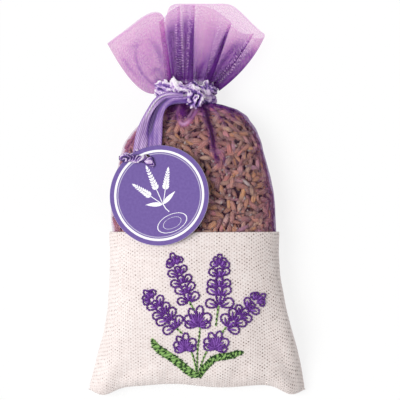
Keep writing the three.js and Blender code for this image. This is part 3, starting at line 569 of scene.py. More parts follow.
class Wire:
    """A number or a colour on its way through a shader, so that node maths reads as plain maths."""

    def __init__(self, tree, socket):
        self.tree, self.socket = tree, socket

    __add__ = __radd__ = arithmetic("ADD")
    __mul__ = __rmul__ = arithmetic("MULTIPLY")
    __sub__, __rsub__ = arithmetic("SUBTRACT"), arithmetic("SUBTRACT", swapped=True)
    __truediv__ = arithmetic("DIVIDE")

    def of(self, operation, *others):
        return node(self.tree, "Math", enumerate((self, *others)), operation=operation)

    def clamped(self):
        self.socket.node.use_clamp = True
        return self

    def pick(self, a, b):
        """The colour a where this is 0, and b where it is 1."""
        return node(self.tree, "Mix", {0: self, 6: a, 7: b}, 2, data_type="RGBA")

    def ramp(self, *stops):
        """A colour from stops of (place, red, green, blue), or of (place, grey) with a grey from 0 to 1."""
        made = node(self.tree, "ValToRGB", {0: self})
        elements = made.socket.node.color_ramp.elements
        while len(elements) < len(stops):
            elements.new(0.5)
        for element, (position, *colour) in zip(elements, stops):
            element.position = position
            element.color = linear(*colour) if len(colour) == 3 else (*colour * 3, 1)
        return made


def attribute(tree, name):
    return node(tree, "Attribute", output="Fac", attribute_name=name)


def noise(tree, scale, vector=None, detail=2.0, roughness=0.5):
    inputs = {"Scale": scale, "Detail": detail, "Roughness": roughness}
    if vector is not None:
        inputs["Vector"] = vector
    return node(tree, "TexNoise", inputs, "Fac")


def cloth_axes(tree):
    """The cloth's own map, and its two distances in metres."""
    at = node(tree, "UVMap", uv_map="cloth")
    split = node(tree, "SeparateXYZ", {0: at}).socket.node.outputs
    return at, Wire(tree, split[0]), Wire(tree, split[1])


def new_material(name, roughness, specular=0.5):
    material = bpy.data.materials.new(name)
    material.use_nodes = True
    shader = material.node_tree.nodes["Principled BSDF"]
    shader.inputs["Roughness"].default_value = roughness
    shader.inputs["Specular IOR Level"].default_value = specular
    return material, material.node_tree, shader


def dress(shader, colour, height=None, distance=0.0, strength=1.0):
    """Joins a colour and a bump to a shader."""
    tree = colour.tree
    tree.links.new(colour.socket, shader.inputs["Base Color"])
    if height is not None:
        made = node(tree, "Bump", {"Height": height, "Distance": distance, "Strength": strength})
        tree.links.new(made.socket, shader.inputs["Normal"])


def linear(red, green, blue):
    """A colour as the screen shows it, from 0 to 255, as the shader needs it."""
    shown = np.array([red, green, blue]) / 255
    return (*np.where(shown > 0.04045, ((shown + 0.055) / 1.055) ** 2.4, shown / 12.92).tolist(), 1)


def linen_material():
    """Plain linen: pale yarns, with pinholes between them in staggered rows, darker here and there."""
    material, tree, shader = new_material("linen_weave", 0.92, 0.2)
    shader.inputs["Sheen Weight"].default_value = 0.1
    at, u, v = cloth_axes(tree)
    wander = (noise(tree, 120.0, at) - 0.5) * 0.7
    column, row = u / HOLE_COLUMN + wander, v / HOLE_ROW - wander
    near_column, near_row = column.of("ROUND"), row.of("ROUND")
    off_u = (column - near_column) * (HOLE_COLUMN / HOLE_RADIUS)
    off_v = (row - near_row) * (HOLE_ROW / HOLE_RADIUS)
    off = (off_u * off_u + off_v * off_v).of("SQRT")
    staggered = 1.0 - (near_column + near_row).of("FLOORED_MODULO", 2.0)
    spot = ((1.0 - off) * 1.8).clamped() * staggered
    patches = noise(tree, 330.0, at, 3.0, 0.6).ramp((0.38, 0.16), (0.55, 0.50), (0.66, 1.0))
    right_half = node(tree, "MapRange", {"Value": u, "From Min": -0.012, "From Max": 0.03})
    hole = spot * patches * (0.85 + right_half * 0.6)
    warp = (column * (math.pi * HOLE_COLUMN / YARN_PITCH)).of("SINE").of("ABSOLUTE")
    weft = (row * math.pi).of("SINE").of("ABSOLUTE")
    slub_u = node(tree, "CombineXYZ", {0: column * 1.1, 1: row * 0.08})
    slub_v = node(tree, "CombineXYZ", {0: column * 0.08, 1: row * 0.9})
    slub = noise(tree, 1.0, slub_u) + noise(tree, 1.0, slub_v)
    yarn = (slub * 0.5).ramp((0.3, 234, 222, 218), (0.5, 247, 236, 233), (0.7, 253, 247, 244))
    toned = (noise(tree, 60.0, at, 3.0) * 0.16).pick(yarn, linear(236, 214, 208))
    lined = ((1.0 - warp) * (0.14 + right_half * 0.20)).pick(toned, linear(206, 190, 182))
    colour = (hole * 0.95).clamped().pick(lined, linear(112, 90, 80))
    dress(shader, colour, (warp + weft) * 0.45 + (slub * 0.4 - spot * 0.8), 0.00010, 0.8)
    return material


def organza_material(name):
    """Sheer nylon: pale pink where it is single, violet where it is gathered, and lit from both sides; with
    painted shadow, dark brown, in its deepest creases and painted highlights on the edges of folds.
    """
    material, tree, shader = new_material(name, 0.4, 0.2)
    at, u, v = cloth_axes(tree)
    grain = noise(tree, 1500.0, at, 3.0, 0.8)
    mottle = (noise(tree, 140.0, at) - 0.5) * 0.5 + (grain - 0.5) * 1.6
    plain = ((attribute(tree, "tone") + mottle) * 0.8).ramp(
        (0.0, 216, 130, 196), (0.28, 182, 88, 182), (0.52, 144, 58, 168), (0.80, 108, 34, 148),
        (1.0, 26, 6, 18))
    slant = v + u.of("PINGPONG", DASH_COLUMN) * 0.8
    beat = (slant * (math.tau / DASH_PITCH)).of("SINE")
    broken = ((noise(tree, 900.0, at) - 0.38) * 5.0).clamped()
    row = ((beat - 0.3) * 2.4).clamped() * (attribute(tree, "dash") * 1.6).clamped()
    # pale: painted highlights where the shine attribute is set, and the pale stitched dashes
    pale = (row * broken + attribute(tree, "shine")).clamped()
    # painted shadow: dark brown laid into the deepest creases by the creases' shadow attribute
    colour = pale.pick(attribute(tree, "painted_shadow").pick(plain, linear(66, 22, 50)), linear(240, 200, 248))
    sparkle = (grain - 0.5) * 2.0
    lets_by = 1.0 - node(tree, "LightPath", output="Is Shadow Ray") * 0.82
    alpha = (attribute(tree, "cover") * FILM_STRENGTH * (1.0 + sparkle)).clamped() * lets_by
    dress(shader, colour, grain, 0.00008, 0.5)
    far = node(tree, "BsdfTranslucent", {"Color": colour})
    lit = node(tree, "MixShader", {0: 0.55, 1: shader.outputs[0], 2: far})
    clear = node(tree, "BsdfTransparent")
    shown = node(tree, "MixShader", {0: alpha, 1: clear, 2: lit})
    tree.links.new(shown.socket, tree.nodes["Material Output"].inputs[0])
    return material


def bud_material():
    """Dried calyxes: ribbed, with painted shade in the grooves between ribs and painted glints as pale
    specks, of every brown, paler at the foot and violet at the mouth.
    """
    material, tree, shader = new_material("dried_buds", 0.6, 0.4)
    u, v = cloth_axes(tree)[1:]
    base = attribute(tree, "tint").ramp(
        (0.0, 124, 60, 68), (0.11, 255, 176, 142), (0.2, 160, 80, 96), (0.3, 255, 210, 172),
        (0.4, 150, 82, 84), (0.5, 254, 182, 104), (0.6, 186, 116, 130), (0.7, 236, 162, 78),
        (0.8, 218, 152, 190), (0.9, 255, 146, 124), (1.0, 255, 246, 240))
    mouth, foot = v.ramp((0.55, 0.0), (0.85, 1.0)), v.ramp((0.0, 1.0), (0.22, 0.0))
    whole = (foot * 0.35).pick((mouth * 0.7).pick(base, linear(78, 48, 74)), linear(190, 148, 118))
    ribs = (u * (math.pi * 8)).of("SINE").of("ABSOLUTE")
    # painted shade in the grooves between the ribs
    groove_shaded = ((1.0 - ribs) * 0.5).pick(whole, linear(50, 30, 34))
    stain = noise(tree, 620.0, None, 3.0, 0.7).ramp((0.34, 0.75), (0.5, 0.0))
    glint_noise = noise(tree, 1100.0, None, 3.0, 0.75)
    stained = stain.pick(groove_shaded, linear(84, 38, 42))
    # pale specks: painted glints
    glinted = glint_noise.ramp((0.5, 0.0), (0.62, 1.0)).pick(stained, linear(255, 222, 206))
    # the deep attribute lays painted shade, near black, on buds lying deeper in the heap
    dress(shader, attribute(tree, "deep").pick(glinted, linear(30, 17, 22)), ribs + glint_noise, 0.0003)
    return material


def shaded_mass_material():
    # a near-black brown: painted shade for the deep gaps between the buds
    material, tree, shader = new_material("shaded_lavender_mass", 0.9)
    patch = noise(tree, 420.0, None, 4.0, 0.65)
    dress(shader, patch.ramp((0.3, 34, 20, 26), (0.5, 54, 34, 38), (0.7, 84, 58, 52)), patch, 0.0012)
    return material


def satin_material(name, twill, roughness, lines_share):
    """Satin: painted highlights, pale on its ridges, and painted shade, deep violet in its creases, with the
    fine slanting lines of its weave.
    """
    material, tree, shader = new_material(name, roughness, 0.45)
    at, u, v = cloth_axes(tree)
    lines = ((u + v * 0.75) * (math.tau / twill)).of("SINE")
    slubs = noise(tree, 1500.0, at)
    # the attribute read here is painted light and shade: 0 a white highlight, 1 deep violet shade
    base = (attribute(tree, "painted_shading") + (noise(tree, 340.0, at, 3.0) - 0.5) * 0.22).ramp(
        (0.0, 255, 246, 255), (0.2, 218, 186, 234), (0.42, 170, 134, 198), (0.66, 102, 60, 158),
        (1.0, 46, 10, 86))
    colour = ((lines * 0.9 + slubs) * lines_share).pick(base, linear(104, 74, 128))
    dress(shader, colour, lines + slubs, 0.00005, 0.7)
    return material


def thread_material(name, dark, light):
    """Twisted embroidery thread; the attribute tint runs from its dark colour to its light one."""
    material, tree, shader = new_material(name, 0.5, 0.3)
    u, v = cloth_axes(tree)[1:]
    twist = (v * (math.tau / 0.0007) + u * math.tau).of("SINE")
    shade = attribute(tree, "tint") + (noise(tree, 2600.0) - 0.5) * 0.3
    dress(shader, shade.pick(dark, light), twist, 0.00006, 0.6)
    return material


def card_material():
    """Coated card: violet, with a broad white ring near the rim and a fine pale one inside it."""
    material, tree, shader = new_material("tag_card_print", 0.5, 0.2)
    at = cloth_axes(tree)[0]
    reach = node(tree, "VectorMath", {0: at}, "Value", operation="LENGTH")
    grain = noise(tree, 900.0, at, 3.0)

    def ring(radius, width):
        return (1.0 - ((reach - radius).of("ABSOLUTE") - width / 2) / RING_SOFTNESS).clamped()

    base = grain.ramp((0.35, 104, 80, 152), (0.65, 112, 88, 160))
    with_fine = (ring(FINE_RING_RADIUS, FINE_RING_WIDTH) * 0.75).pick(base, linear(206, 200, 222))
    with_broad = ring(BROAD_RING_RADIUS, BROAD_RING_WIDTH).pick(with_fine, linear(250, 248, 252))
    dress(shader, attribute(tree, "side").pick(with_broad, linear(214, 204, 224)), grain, 0.00003, 0.4)
    return material


def ink_material():
    material, tree, shader = new_material("white_ink", 0.45)
    dress(shader, noise(tree, 1400.0).ramp((0.3, 240, 236, 246), (0.7, 255, 255, 255)))
    return material


def camera():
    """Straight above, with the photograph's scale at half the pouch's height."""
    scene = bpy.context.scene
    scene.view_settings.view_transform = "Standard"
    data = bpy.data.cameras.new("camera")
    data.lens, data.sensor_width, data.clip_end = LENS, SENSOR, CLIP_END
    made = bpy.data.objects.new("camera", data)
    middle = from_pixel(IMAGE_SIDE / 2, IMAGE_SIDE / 2)
    made.location = (*middle, SEAM_HEIGHT + IMAGE_SIDE * PIXEL * LENS / SENSOR)
    scene.collection.objects.link(made)
    scene.camera = made


def empty_tree(owner):
    owner.use_nodes = True
    owner.node_tree.nodes.clear()
    return owner.node_tree


def studio():
    """One broad key light from the left, a soft world, and a pale floor that keeps the shadow."""
    scene = bpy.context.scene
    sun = bpy.data.lights.new("key", "SUN")
    sun.energy, sun.angle = SUN_STRENGTH, SUN_SPREAD
    key = bpy.data.objects.new("key", sun)
    key.rotation_euler = Vector(SUN_WAY).to_track_quat("-Z", "Y").to_euler()
    scene.collection.objects.link(key)

    white = (1, 1, 1, 1)
    scene.world = bpy.data.worlds.new("studio")
    tree = empty_tree(scene.world)
    lens, gloss, glass = (node(tree, "LightPath", output=f"Is {kind} Ray")
                          for kind in ("Camera", "Glossy", "Transmission"))
    seen = lens.of("MAXIMUM", gloss).of("MAXIMUM", glass)
    strength = node(tree, "MapRange", {"Value": seen, "To Min": WORLD_FILL, "To Max": 1.0})
    shine = node(tree, "Background", {"Color": white, "Strength": strength})
    node(tree, "OutputWorld", {0: shine})

    corners = [(x * FLOOR_REACH, y * FLOOR_REACH, 0) for x, y in ((-1, -1), (1, -1), (1, 1), (-1, 1))]
    floor = new_object("floor", corners, [(0, 1, 2, 3)], smooth=False)
    floor.location.z = -CLOTH_GAP
    material = bpy.data.materials.new("pale_floor")
    tree = empty_tree(material)
    lit = node(tree, "BsdfDiffuse", {"Color": (FLOOR_GREY, FLOOR_GREY, FLOOR_GREY, 1)})
    glow = node(tree, "Emission", {"Color": white, "Strength": 1.0})
    seen = node(tree, "LightPath", output="Is Camera Ray") * FLOOR_GLOW
    shown = node(tree, "MixShader", {0: seen, 1: lit, 2: glow})
    node(tree, "OutputMaterial", {0: shown})
    floor.data.materials.append(material)


# Ribbons
def ribbon_mesh(name, spine, width, turn, cup, sag, painted_shading, columns):
    """A closed flat ribbon along a spine. width, turn and cup are numbers or one for each point of it."""
    rows = len(spine)
    width, turn, cup = (np.broadcast_to(value, rows)[:, None] for value in (width, turn, cup))
    along = unit(np.gradient(spine, axis=0))
    level = unit(np.cross(along, (0, 0, 1.0)))
    wide = level * np.cos(turn) + unit(np.cross(along, level)) * np.sin(turn)
    thin = unit(np.cross(along, wide))
    thin = thin * np.where(thin[:, 2:] < 0, -1, 1)
    t = np.linspace(0, 1, rows)[:, None]
    places = np.linspace(-1, 1, columns + 1)
    points, shade = [], []
    for side, s in ((1, places), (-1, places[::-1])):
        edge = side * RIBBON_THICKNESS / 2 * np.sqrt(np.clip(1.02 - s ** 4, 0, 1))
        lift = (cup * (1 - s ** 2) + sag(t, s) + edge)[..., None]
        points.append(spine[:, None] + wide[:, None] * (s * width / 2)[..., None] + thin[:, None] * lift)
        # painted light and shade across the ribbon
        shade.append(painted_shading(t, s))
    ring = np.concatenate(points, 1)
    span = np.concatenate([places, places[::-1]]) * RIBBON_WIDTH / 2
    uv = paired(span, gone_along(spine)[:, None])
    return new_object(name, ring.reshape(-1, 3), closed_faces(*ring.shape[:2], ends=-1),
                      {"painted_shading": np.clip(np.concatenate(shade, 1), 0, 1)}, uv)


def tail(name, route, inner, seed, satin):
    """One of the ribbon's two tails: it parts from the knot and ends flat under the tag, beside the other.

    inner is 1 where the other tail lies on its right, and -1 where it lies on its left."""
    spine = smooth_line([(*from_pixel(px, py), z) for px, py, z in route], TAIL_STEPS)
    left, right = seams(spine[:, 1])
    place_on = (spine[:, 0] - (left + right) / 2) / ((right - left) / 2 - ORGANZA_INSET)
    film_z = front_point(np.clip(place_on, -1, 1), spine[:, 1], ORGANZA_INSET)[:, 2]
    spine[:, 2] = np.maximum(spine[:, 2], film_z + TAIL_CLEARANCE)
    spine[1:-1, 2] = np.convolve(spine[:, 2], np.ones(3) / 3, "valid")
    share = np.linspace(0, 1, len(spine))
    width = mix(TIED_WIDTH, BUNCHED_WIDTH, ease(share, 0, 0.3))
    width = mix(width, RIBBON_WIDTH, ease(share, 0.42, 0.86))
    turn = mix(TAIL_TURN, TAIL_LAST_TURN, ease(share, 0.35, 0.8)) * -inner

    def folds(t, s):
        return crumple(s * 1.5 + 0 * t, t * 3.2, 2.6, seed) * (1 - 0.75 * ease(t, 0.3, 0.75))

    def sag(t, s):
        return 0.0005 * folds(t, s) + 0.00016 * np.cos(s * 4.4 + seed) * (1 - 0.6 * t)

    # Painted light and shade along a tail: painted shade in the valley where it turns, on the right tail's
    # underside near the knot, at its root and at its edges, the right tail darker overall, painted highlights
    # on its folds, and on the left tail one painted highlight streak and one darker patch
    def painted_shading(t, s):
        facing = -s * inner
        valley = bell(t - 0.58, 0.20) * ease(facing, 0.1, 0.8)
        under = ease(-facing, 0.0, 0.9) * (1 - ease(t, 0.30, 0.52)) * (0.85 if inner < 0 else 0.1)
        root = 0.30 * (1 - ease(t, 0, 0.2))
        edge = 0.14 * ease(np.abs(s), 0.84, 1)
        base = (0.29 if inner > 0 else 0.49) + 1.5 * valley + 0.6 * under + root + edge
        if inner > 0:
            base = base + 0.25 * bell(facing + 0.05, 0.14) * bell(t - 0.74, 0.13)
            base = base - 0.6 * bell(facing + 0.4, 0.2) * bell(t - 0.42, 0.14)
        return base - 0.34 * folds(t, s) + 0.04 * np.sin(s * 9 + t * 5)

    along = unit(np.gradient(spine, axis=0))
    tuck = np.linspace(1 / TAIL_TUCK_STEPS, 1, TAIL_TUCK_STEPS)[:, None] * TAIL_TUCK
    shape = np.vstack([spine, spine[-1:] + along[-1:] * tuck])
    width, turn = (np.r_[value, np.full(TAIL_TUCK_STEPS, value[-1])] for value in (width, turn))
    cup = 0.0003 * (1 - np.linspace(0, 1, len(shape)))
    made = ribbon_mesh(name + "_satin", shape, width, turn, cup, sag, painted_shading, TAIL_COLUMNS)
    place(made, satin, "ribbon_tails", "satin_ribbon", name)
    length = float(gone_along(spine)[-1])


# Linen pocket
def linen_panel(name, point, side, seed, material):
    """One panel, from the bottom seam to the fold at the hem and 8 mm down inside it."""
    xs = across(LINEN_COLUMNS)
    y = mix(bottom_edge(xs)[None], HEM_Y - HEM_FOLD_RADIUS, (np.linspace(0, 1, LINEN_ROWS) ** 1.5)[:, None])
    x = np.broadcast_to(xs, y.shape)
    points = point(x, y, 0.0)
    out = normals(points, side)
    left, right = seams(y)
    from_side = (1 - np.abs(x)) * (right - left) / 2
    from_bottom = y - bottom_edge(x)
    px = points[..., 0]
    along_side = np.sin(math.tau * y / 0.0052 + 2.2 * ripples(x, y, 0.018, seed))
    along_bottom = np.sin(math.tau * px / 0.0061 + 2.2 * ripples(x, y, 0.02, seed + 1))
    off = 0.00009 * along_side * np.exp(-from_side / SEAM_PUCKER)
    off += 0.00016 * along_bottom * np.exp(-from_bottom / SEAM_PUCKER)
    off += 0.00016 * ripples(px, y, 0.016, seed + 2) + 0.00034 * ripples(px, y, 0.042, seed + 3)
    for line, depth, width in LINEN_CREASES:
        off += depth * ridge_along(from_pixels(line), width, px, y, 0.02, 0.6)
    settled = ease(np.minimum(from_side, from_bottom), 0, 0.0015) * (1 - 0.75 * ease(y, HEM_Y - 0.010, HEM_Y))
    rest = ease(points[..., 2], 0.0002, 0.0025) if side < 0 else 1.0
    points = points + out * (off * settled * rest)[..., None]
    edge = out[-1]
    fold = []
    for turn in np.linspace(0.2, 1, 6) * math.pi:
        step = edge * (-HEM_FOLD_RADIUS * (1 - math.cos(turn)))
        fold.append(points[-1] + step + np.array([0, HEM_FOLD_RADIUS * math.sin(turn), 0]))
    for down in np.linspace(0.15, 1, 8) * HEM_ALLOWANCE:
        fold.append(fold[5] + np.array([0, -down, 0]) + edge * (-0.0002 * down / HEM_ALLOWANCE))
    panel = grid_object(name, np.concatenate([points, np.array(fold)]), side)
    thicken(panel, LINEN_THICKNESS)
    place(panel, material, "pouch", "linen", name + "_panel")
    return panel


# Organza bag
def ruffle(rays, side):
    """Points and tones of the fan above the ribbon, from the neck up to the rim."""
    table = resampled(rays, RUFFLE_COLUMNS)
    rim_x, rim_y = from_pixel(table[:, 0], table[:, 1])
    neck_x = from_pixel(table[:, 2], 0)[0]
    lift, tone = table[:, 3] / 1000, np.clip(table[:, 4], 0, 1)
    v = np.linspace(0, 1, RUFFLE_ROWS)[:, None]
    middle = (neck_x[0] + neck_x[-1]) / 2
    share = (neck_x - middle) / ((neck_x[-1] - neck_x[0]) / 2)
    seat_z = NECK_SEAT_Z + side * NECK_SEAT_RISE * np.sqrt(np.clip(1 - share ** 2, 0, 1))
    turn = np.linspace(-1, 1, RUFFLE_COLUMNS)
    outer = np.abs(turn) ** 3
    neck_y = NECK_TOP_Y - np.where(turn < 0, *SIDE_DROPS) * outer
    bow = np.where(turn < 0, *(np.array(pair)[:, None] for pair in SIDE_BOWS)) * outer
    rim_z = RIM_SEAM_Z + (FRONT_RIM_RISE if side > 0 else -BACK_RIM_DROP) * arch(turn)
    x = mix(neck_x, rim_x, v ** 0.96) + 2 * v * (1 - v) * bow[0]
    y = mix(neck_y, rim_y, v) + 2 * v * (1 - v) * bow[1]
    z = mix(seat_z, rim_z, ease(v, 0, 0.9)) + side * 0.26 * lift * (0.35 + 0.65 * v) * ease(v, 0, 0.15)
    pleat = turn * 46 + 1.3 * np.sin(turn * 9 + side)
    fine, tight = np.sin(pleat), (1 - v) ** 2
    z = z + side * fine * (0.0005 * tight + 0.0001)
    x = x + np.cos(pleat) * 0.0009 * tight * (1 - outer)
    strength = mix(0.30, 1.0, ease(turn, -0.62, -0.36)) * (1 if side > 0 else 0.85)
    shade = tone * (1 - 0.75 * ease(v, 0.66, 1))
    shade = shade + (0.80 * strength - 0.4 * shade) * (1 - v) ** 2.2 + 0.18 * tight * fine * strength
    if side > 0:
        for line, width, more in FAN_FOLDS:
            shade = shade + more * ridge_along(smooth_line(from_pixels(line), 16), width, x, y, 0.05, 0.5)
    return np.stack([x, y, z], -1), np.clip(shade, 0, 1)


def film_body(point, side):
    """The film from inside the linen hem up over the buds to the neck: points, and its attributes."""
    xs = across(RUFFLE_COLUMNS - 1)
    y = np.concatenate([np.linspace(HEM_Y - ORGANZA_TUCK, HEM_Y, TUCK_ROWS)[:-1],
                        np.linspace(HEM_Y, NECK_Y, SHOULDER_ROWS)])[:, None]
    x = np.broadcast_to(xs, (len(y), RUFFLE_COLUMNS))
    body = point(x, y, ORGANZA_INSET)
    out = normals(body, side)
    gathers = ease(y, NECK_Y - 0.36 * SHOULDER_HEIGHT, NECK_Y)
    fine = np.sin(xs * 19 + 2.0 * ripples(xs, 0 * xs, 0.9, 5))
    puff = 0.00022 * ripples(body[..., 0], y, 0.012, 31) + 0.0006 * gathers * (fine - 1)
    tone = FILM_TONE + 0.85 * gathers * (0.5 - 0.5 * fine)
    cover, shine, painted_shadow = FILM_COVER + 0 * x, 0 * x, 0 * x
    for line, width, opaque, its_tone, glint in FILM_CREASES if side > 0 else ():
        ridge = ridge_along(smooth_line(from_pixels(line), 20), width, body[..., 0], y, 0.03, 0.5)
        tone, puff = mix(tone, its_tone, ridge), puff + 0.0006 * ridge
        # glint lays a painted highlight along the fold
        cover, shine = mix(cover, opaque, ridge), mix(shine, glint, ridge)
        # a fold toned above 1 holds painted shadow, dark brown
        if its_tone > 1:
            painted_shadow = np.maximum(painted_shadow, 0.75 * ridge)
    left, right = seams(y)
    from_left, from_right = (x + 1) * (right - left) / 2, (1 - x) * (right - left) / 2
    rim = bell(from_right, 0.0020, 4)
    broad_rim = bell(from_right, mix(0.0062, 0.0038, ease(y, HEM_Y, HEM_Y + 0.03)), 4)
    left_rim = bell(from_left, mix(0.0036, 0.0052, ease(y, 0.010, 0.036)), 4)
    left_rim = left_rim * mix(0.3, 1, ease(from_left, 0.0002, 0.0014))
    tone = tone + 0.25 * rim + 0.15 * broad_rim - 0.2 * left_rim
    cover = cover + 0.8 * rim + 0.42 * broad_rim + 0.95 * left_rim + 1.1 * gathers ** 4 * (0.7 - 0.3 * fine)
    body = body + out * (puff * ease(np.minimum(from_left, from_right), 0, 0.002))[..., None]
    return body, {"tone": np.clip(tone, 0, 1.25), "cover": cover, "shine": shine, "painted_shadow": painted_shadow}


def film_fan(rays, side):
    """The fan above the ribbon: points, and its attributes."""
    fan, tone = ruffle(rays, side)
    up = np.linspace(0, 1, len(fan))[:, None]
    cover, dash, shine = (0.69 if side > 0 else 1.0) + 1.5 * tone, 0 * tone, 0 * tone
    if side > 0:
        ray = np.linspace(0, len(rays) - 1, RUFFLE_COLUMNS)
        high = ease(up, 0.5, 1)
        thinner = sum((low + more * high) * bell(ray - at, 1.0, 4) for at, low, more in FOLD_BACKS)
        cover = cover * (1 - thinner)
        dash = sum(bell(ray - at, width, 4) for at, width in DASHED_RAYS) * np.sin(math.pi * 0.94 * up) ** 0.8
    cover = cover * (1 - (0.14 if side > 0 else 0.05) * ease(up, 0.7, 1))
    # the rim: more opaque, and paler through shine, a pale hemmed edge that is partly painted highlight
    cover[-2:] += 0.35
    shine[-2:] = 0.25
    return fan, {"tone": tone, "cover": cover, "dash": dash, "shine": shine}


def film(name, point, side, rays, material):
    """One organza panel, from inside the linen hem over the buds, through the ribbon and out to the rim."""
    body, of_body = film_body(point, side)
    fan, of_fan = film_fan(rays, side)
    steps = np.linspace(0, 1, BRIDGE_STEPS)[1:-1]
    bridge = mix(body[-1], fan[0], ease(steps)[:, None, None])
    bridge[..., 1] = mix(NECK_Y, NECK_TOP_Y, steps)[:, None]
    of_bridge = {"tone": np.full(bridge.shape[:2], 0.8), "cover": np.full(bridge.shape[:2], 1.28)}
    parts = ((body, of_body), (bridge, of_bridge), (fan, of_fan))
    attributes = {key: np.concatenate([of.get(key, np.zeros(points.shape[:2])) for points, of in parts])
                  for key in ("tone", "cover", "dash", "shine", "painted_shadow")}
    panel = grid_object(name, np.concatenate([body, bridge, fan]), side, attributes)
    place(panel, material, "pouch", "organza", name.replace("_film", "_panel"))


# Lavender
def bud_template():
    """A calyx along x, one long and one wide: ribbed, narrow at its stalk and toothed at its mouth."""
    profile = [(0, 0.16), (0.1, 0.34), (0.3, 0.47), (0.58, 0.5), (0.84, 0.4), (1.0, 0.3), (0.93, 0.1)]
    angle = np.linspace(0, math.tau, BUD_SIDES, endpoint=False)
    verts, uv = [], []
    for k, (along, radius) in enumerate(profile):
        teeth = 0.06 * np.cos(angle * 4) if k == 5 else 0
        rib = radius * (1 + 0.09 * np.cos(angle * 4))
        verts.append(np.stack([along + teeth - 0.5 + 0 * angle, rib * np.cos(angle), rib * np.sin(angle)], 1))
        uv.append(paired(angle / math.tau, along))
    return np.concatenate(verts), closed_faces(len(profile), BUD_SIDES), np.concatenate(uv)


def inside_film(points):
    """The same points, drawn in wherever they would come through the film."""
    x, y, z = np.moveaxis(points, -1, 0)
    y = np.minimum(y, NECK_Y - 0.0003)
    left, right = seams(y)
    half, middle = (right - left) / 2 - ORGANZA_INSET, (left + right) / 2
    share = (x - middle) / half
    level = parting(np.clip(share, -1, 1), y)
    front, back = crown(y, FRONT_CROWN, NECK_FRONT_CROWN), crown(y, BACK_CROWN, NECK_BACK_CROWN)
    reach = np.where(z > level, front, back) - ORGANZA_INSET
    rise = (z - level) / reach
    aside, above = np.abs(share) ** FULLNESS_SHARE, np.abs(rise) ** FULLNESS_SHARE
    total = np.maximum(aside + above, 1e-9)
    margin = 0.0003 + 0.0011 * ease(y, NECK_Y - 0.3 * SHOULDER_HEIGHT, NECK_Y)
    margin_share = margin * (aside / half + above / reach) / total
    shrink = np.minimum(1, (1 - margin_share) / total ** (1 / FULLNESS_SHARE))
    height = np.maximum(level + rise * reach * shrink, RESTING_FILM_Z)
    return np.stack([middle + share * half * shrink, y, height], -1)


def scatter(name, centres, along, out, sizes, tints, deep, bends, material):
    """One piece made of many buds, each of its own size and turned to its own direction."""
    verts, faces, uv = bud_template()
    along = unit(along)
    side = unit(np.cross(out, along))
    up = np.cross(along, side)
    local = verts[None] * sizes[:, None, :]
    local[..., 2] += bends[:, None] * local[..., 0] ** 2
    world = (centres[:, None] + local[..., :1] * along[:, None] + local[..., 1:2] * side[:, None]
             + local[..., 2:] * up[:, None])
    count = len(centres)
    shift = (np.arange(count) * len(verts))[:, None]
    all_faces = [placed for face in faces for placed in (np.array(face)[None] + shift).tolist()]
    made = new_object(name, inside_film(world).reshape(-1, 3), all_faces,
                      {"tint": np.repeat(tints, len(verts)), "deep": np.repeat(deep, len(verts))},
                      np.tile(uv, (count, 1)))
    place(made, material, "pouch", "dried_lavender")


def heap_point(point, side, share, y, inset):
    """A place on the heap of buds: inside the film, which stands clear of it at both sides."""
    left, right = seams(y)
    step = 0.0008
    slopes = [np.minimum(np.hypot(1, (b - a) / step), 3.0) for a, b in zip((left, right), seams(y + step))]
    up = ease(y, HEM_Y, HEM_Y + 0.02)
    left_gap, right_gap = (mix(*gaps, up) for gaps in HEAP_GAPS[side])
    low = left + (ORGANZA_INSET + left_gap) * slopes[0]
    high = right - (ORGANZA_INSET + right_gap) * slopes[1]
    deeper = inset + 0.0011 * ease(y, NECK_Y - 0.3 * SHOULDER_HEIGHT, NECK_Y)
    found = point(share, y, ORGANZA_INSET)
    found[..., 0] = mix(low + deeper, high - deeper, (share + 1) / 2)
    found[..., 2] -= side * deeper * arch(share)
    return found


def spots(rng, count, gap, point, side):
    """Random places all over the heap, at least a gap apart: shares across it and heights up it."""
    tries = count * 25
    shares = from_swing(np.cos(math.pi * rng.uniform(0.02, 0.98, tries)))
    ys = rng.uniform(HEM_Y - 0.004, NECK_Y - 0.0022, tries)
    kept, cells = [], {}
    for k, (x, y, z) in enumerate(heap_point(point, side, shares, ys, 0.0).tolist()):
        i, j, h = int(x // gap), int(y // gap), int(z // gap)
        close = [q for a in (-1, 0, 1) for b in (-1, 0, 1) for c in (-1, 0, 1)
                 for q in cells.get((i + a, j + b, h + c), ())]
        if any((q[0] - x) ** 2 + (q[1] - y) ** 2 + (q[2] - z) ** 2 < gap * gap for q in close):
            continue
        cells.setdefault((i, j, h), []).append((x, y, z))
        kept.append(k)
        if len(kept) == count:
            break
    return shares[kept], ys[kept]


def on_heap(point, side, share, y, depth, turn, tilt):
    """Places that deep in the heap, directions that lie along it, and its normals there."""
    here, left, right, higher = (
        heap_point(point, side, share + aside, y + up, depth)
        for aside, up in ((0, 0), (-0.004, 0), (0.004, 0), (0, 0.0008)))
    beside, above = unit(right - left), unit(higher - here)
    normal = unit(np.cross(beside, above)) * side
    turn = mix(math.pi / 2 + 0.3 * np.sin(turn * 3), turn, ease(1 - np.abs(share), 0.02, 0.10))
    ahead = beside * np.cos(turn)[:, None] + above * np.sin(turn)[:, None] + normal * tilt[:, None]
    return here, ahead, normal


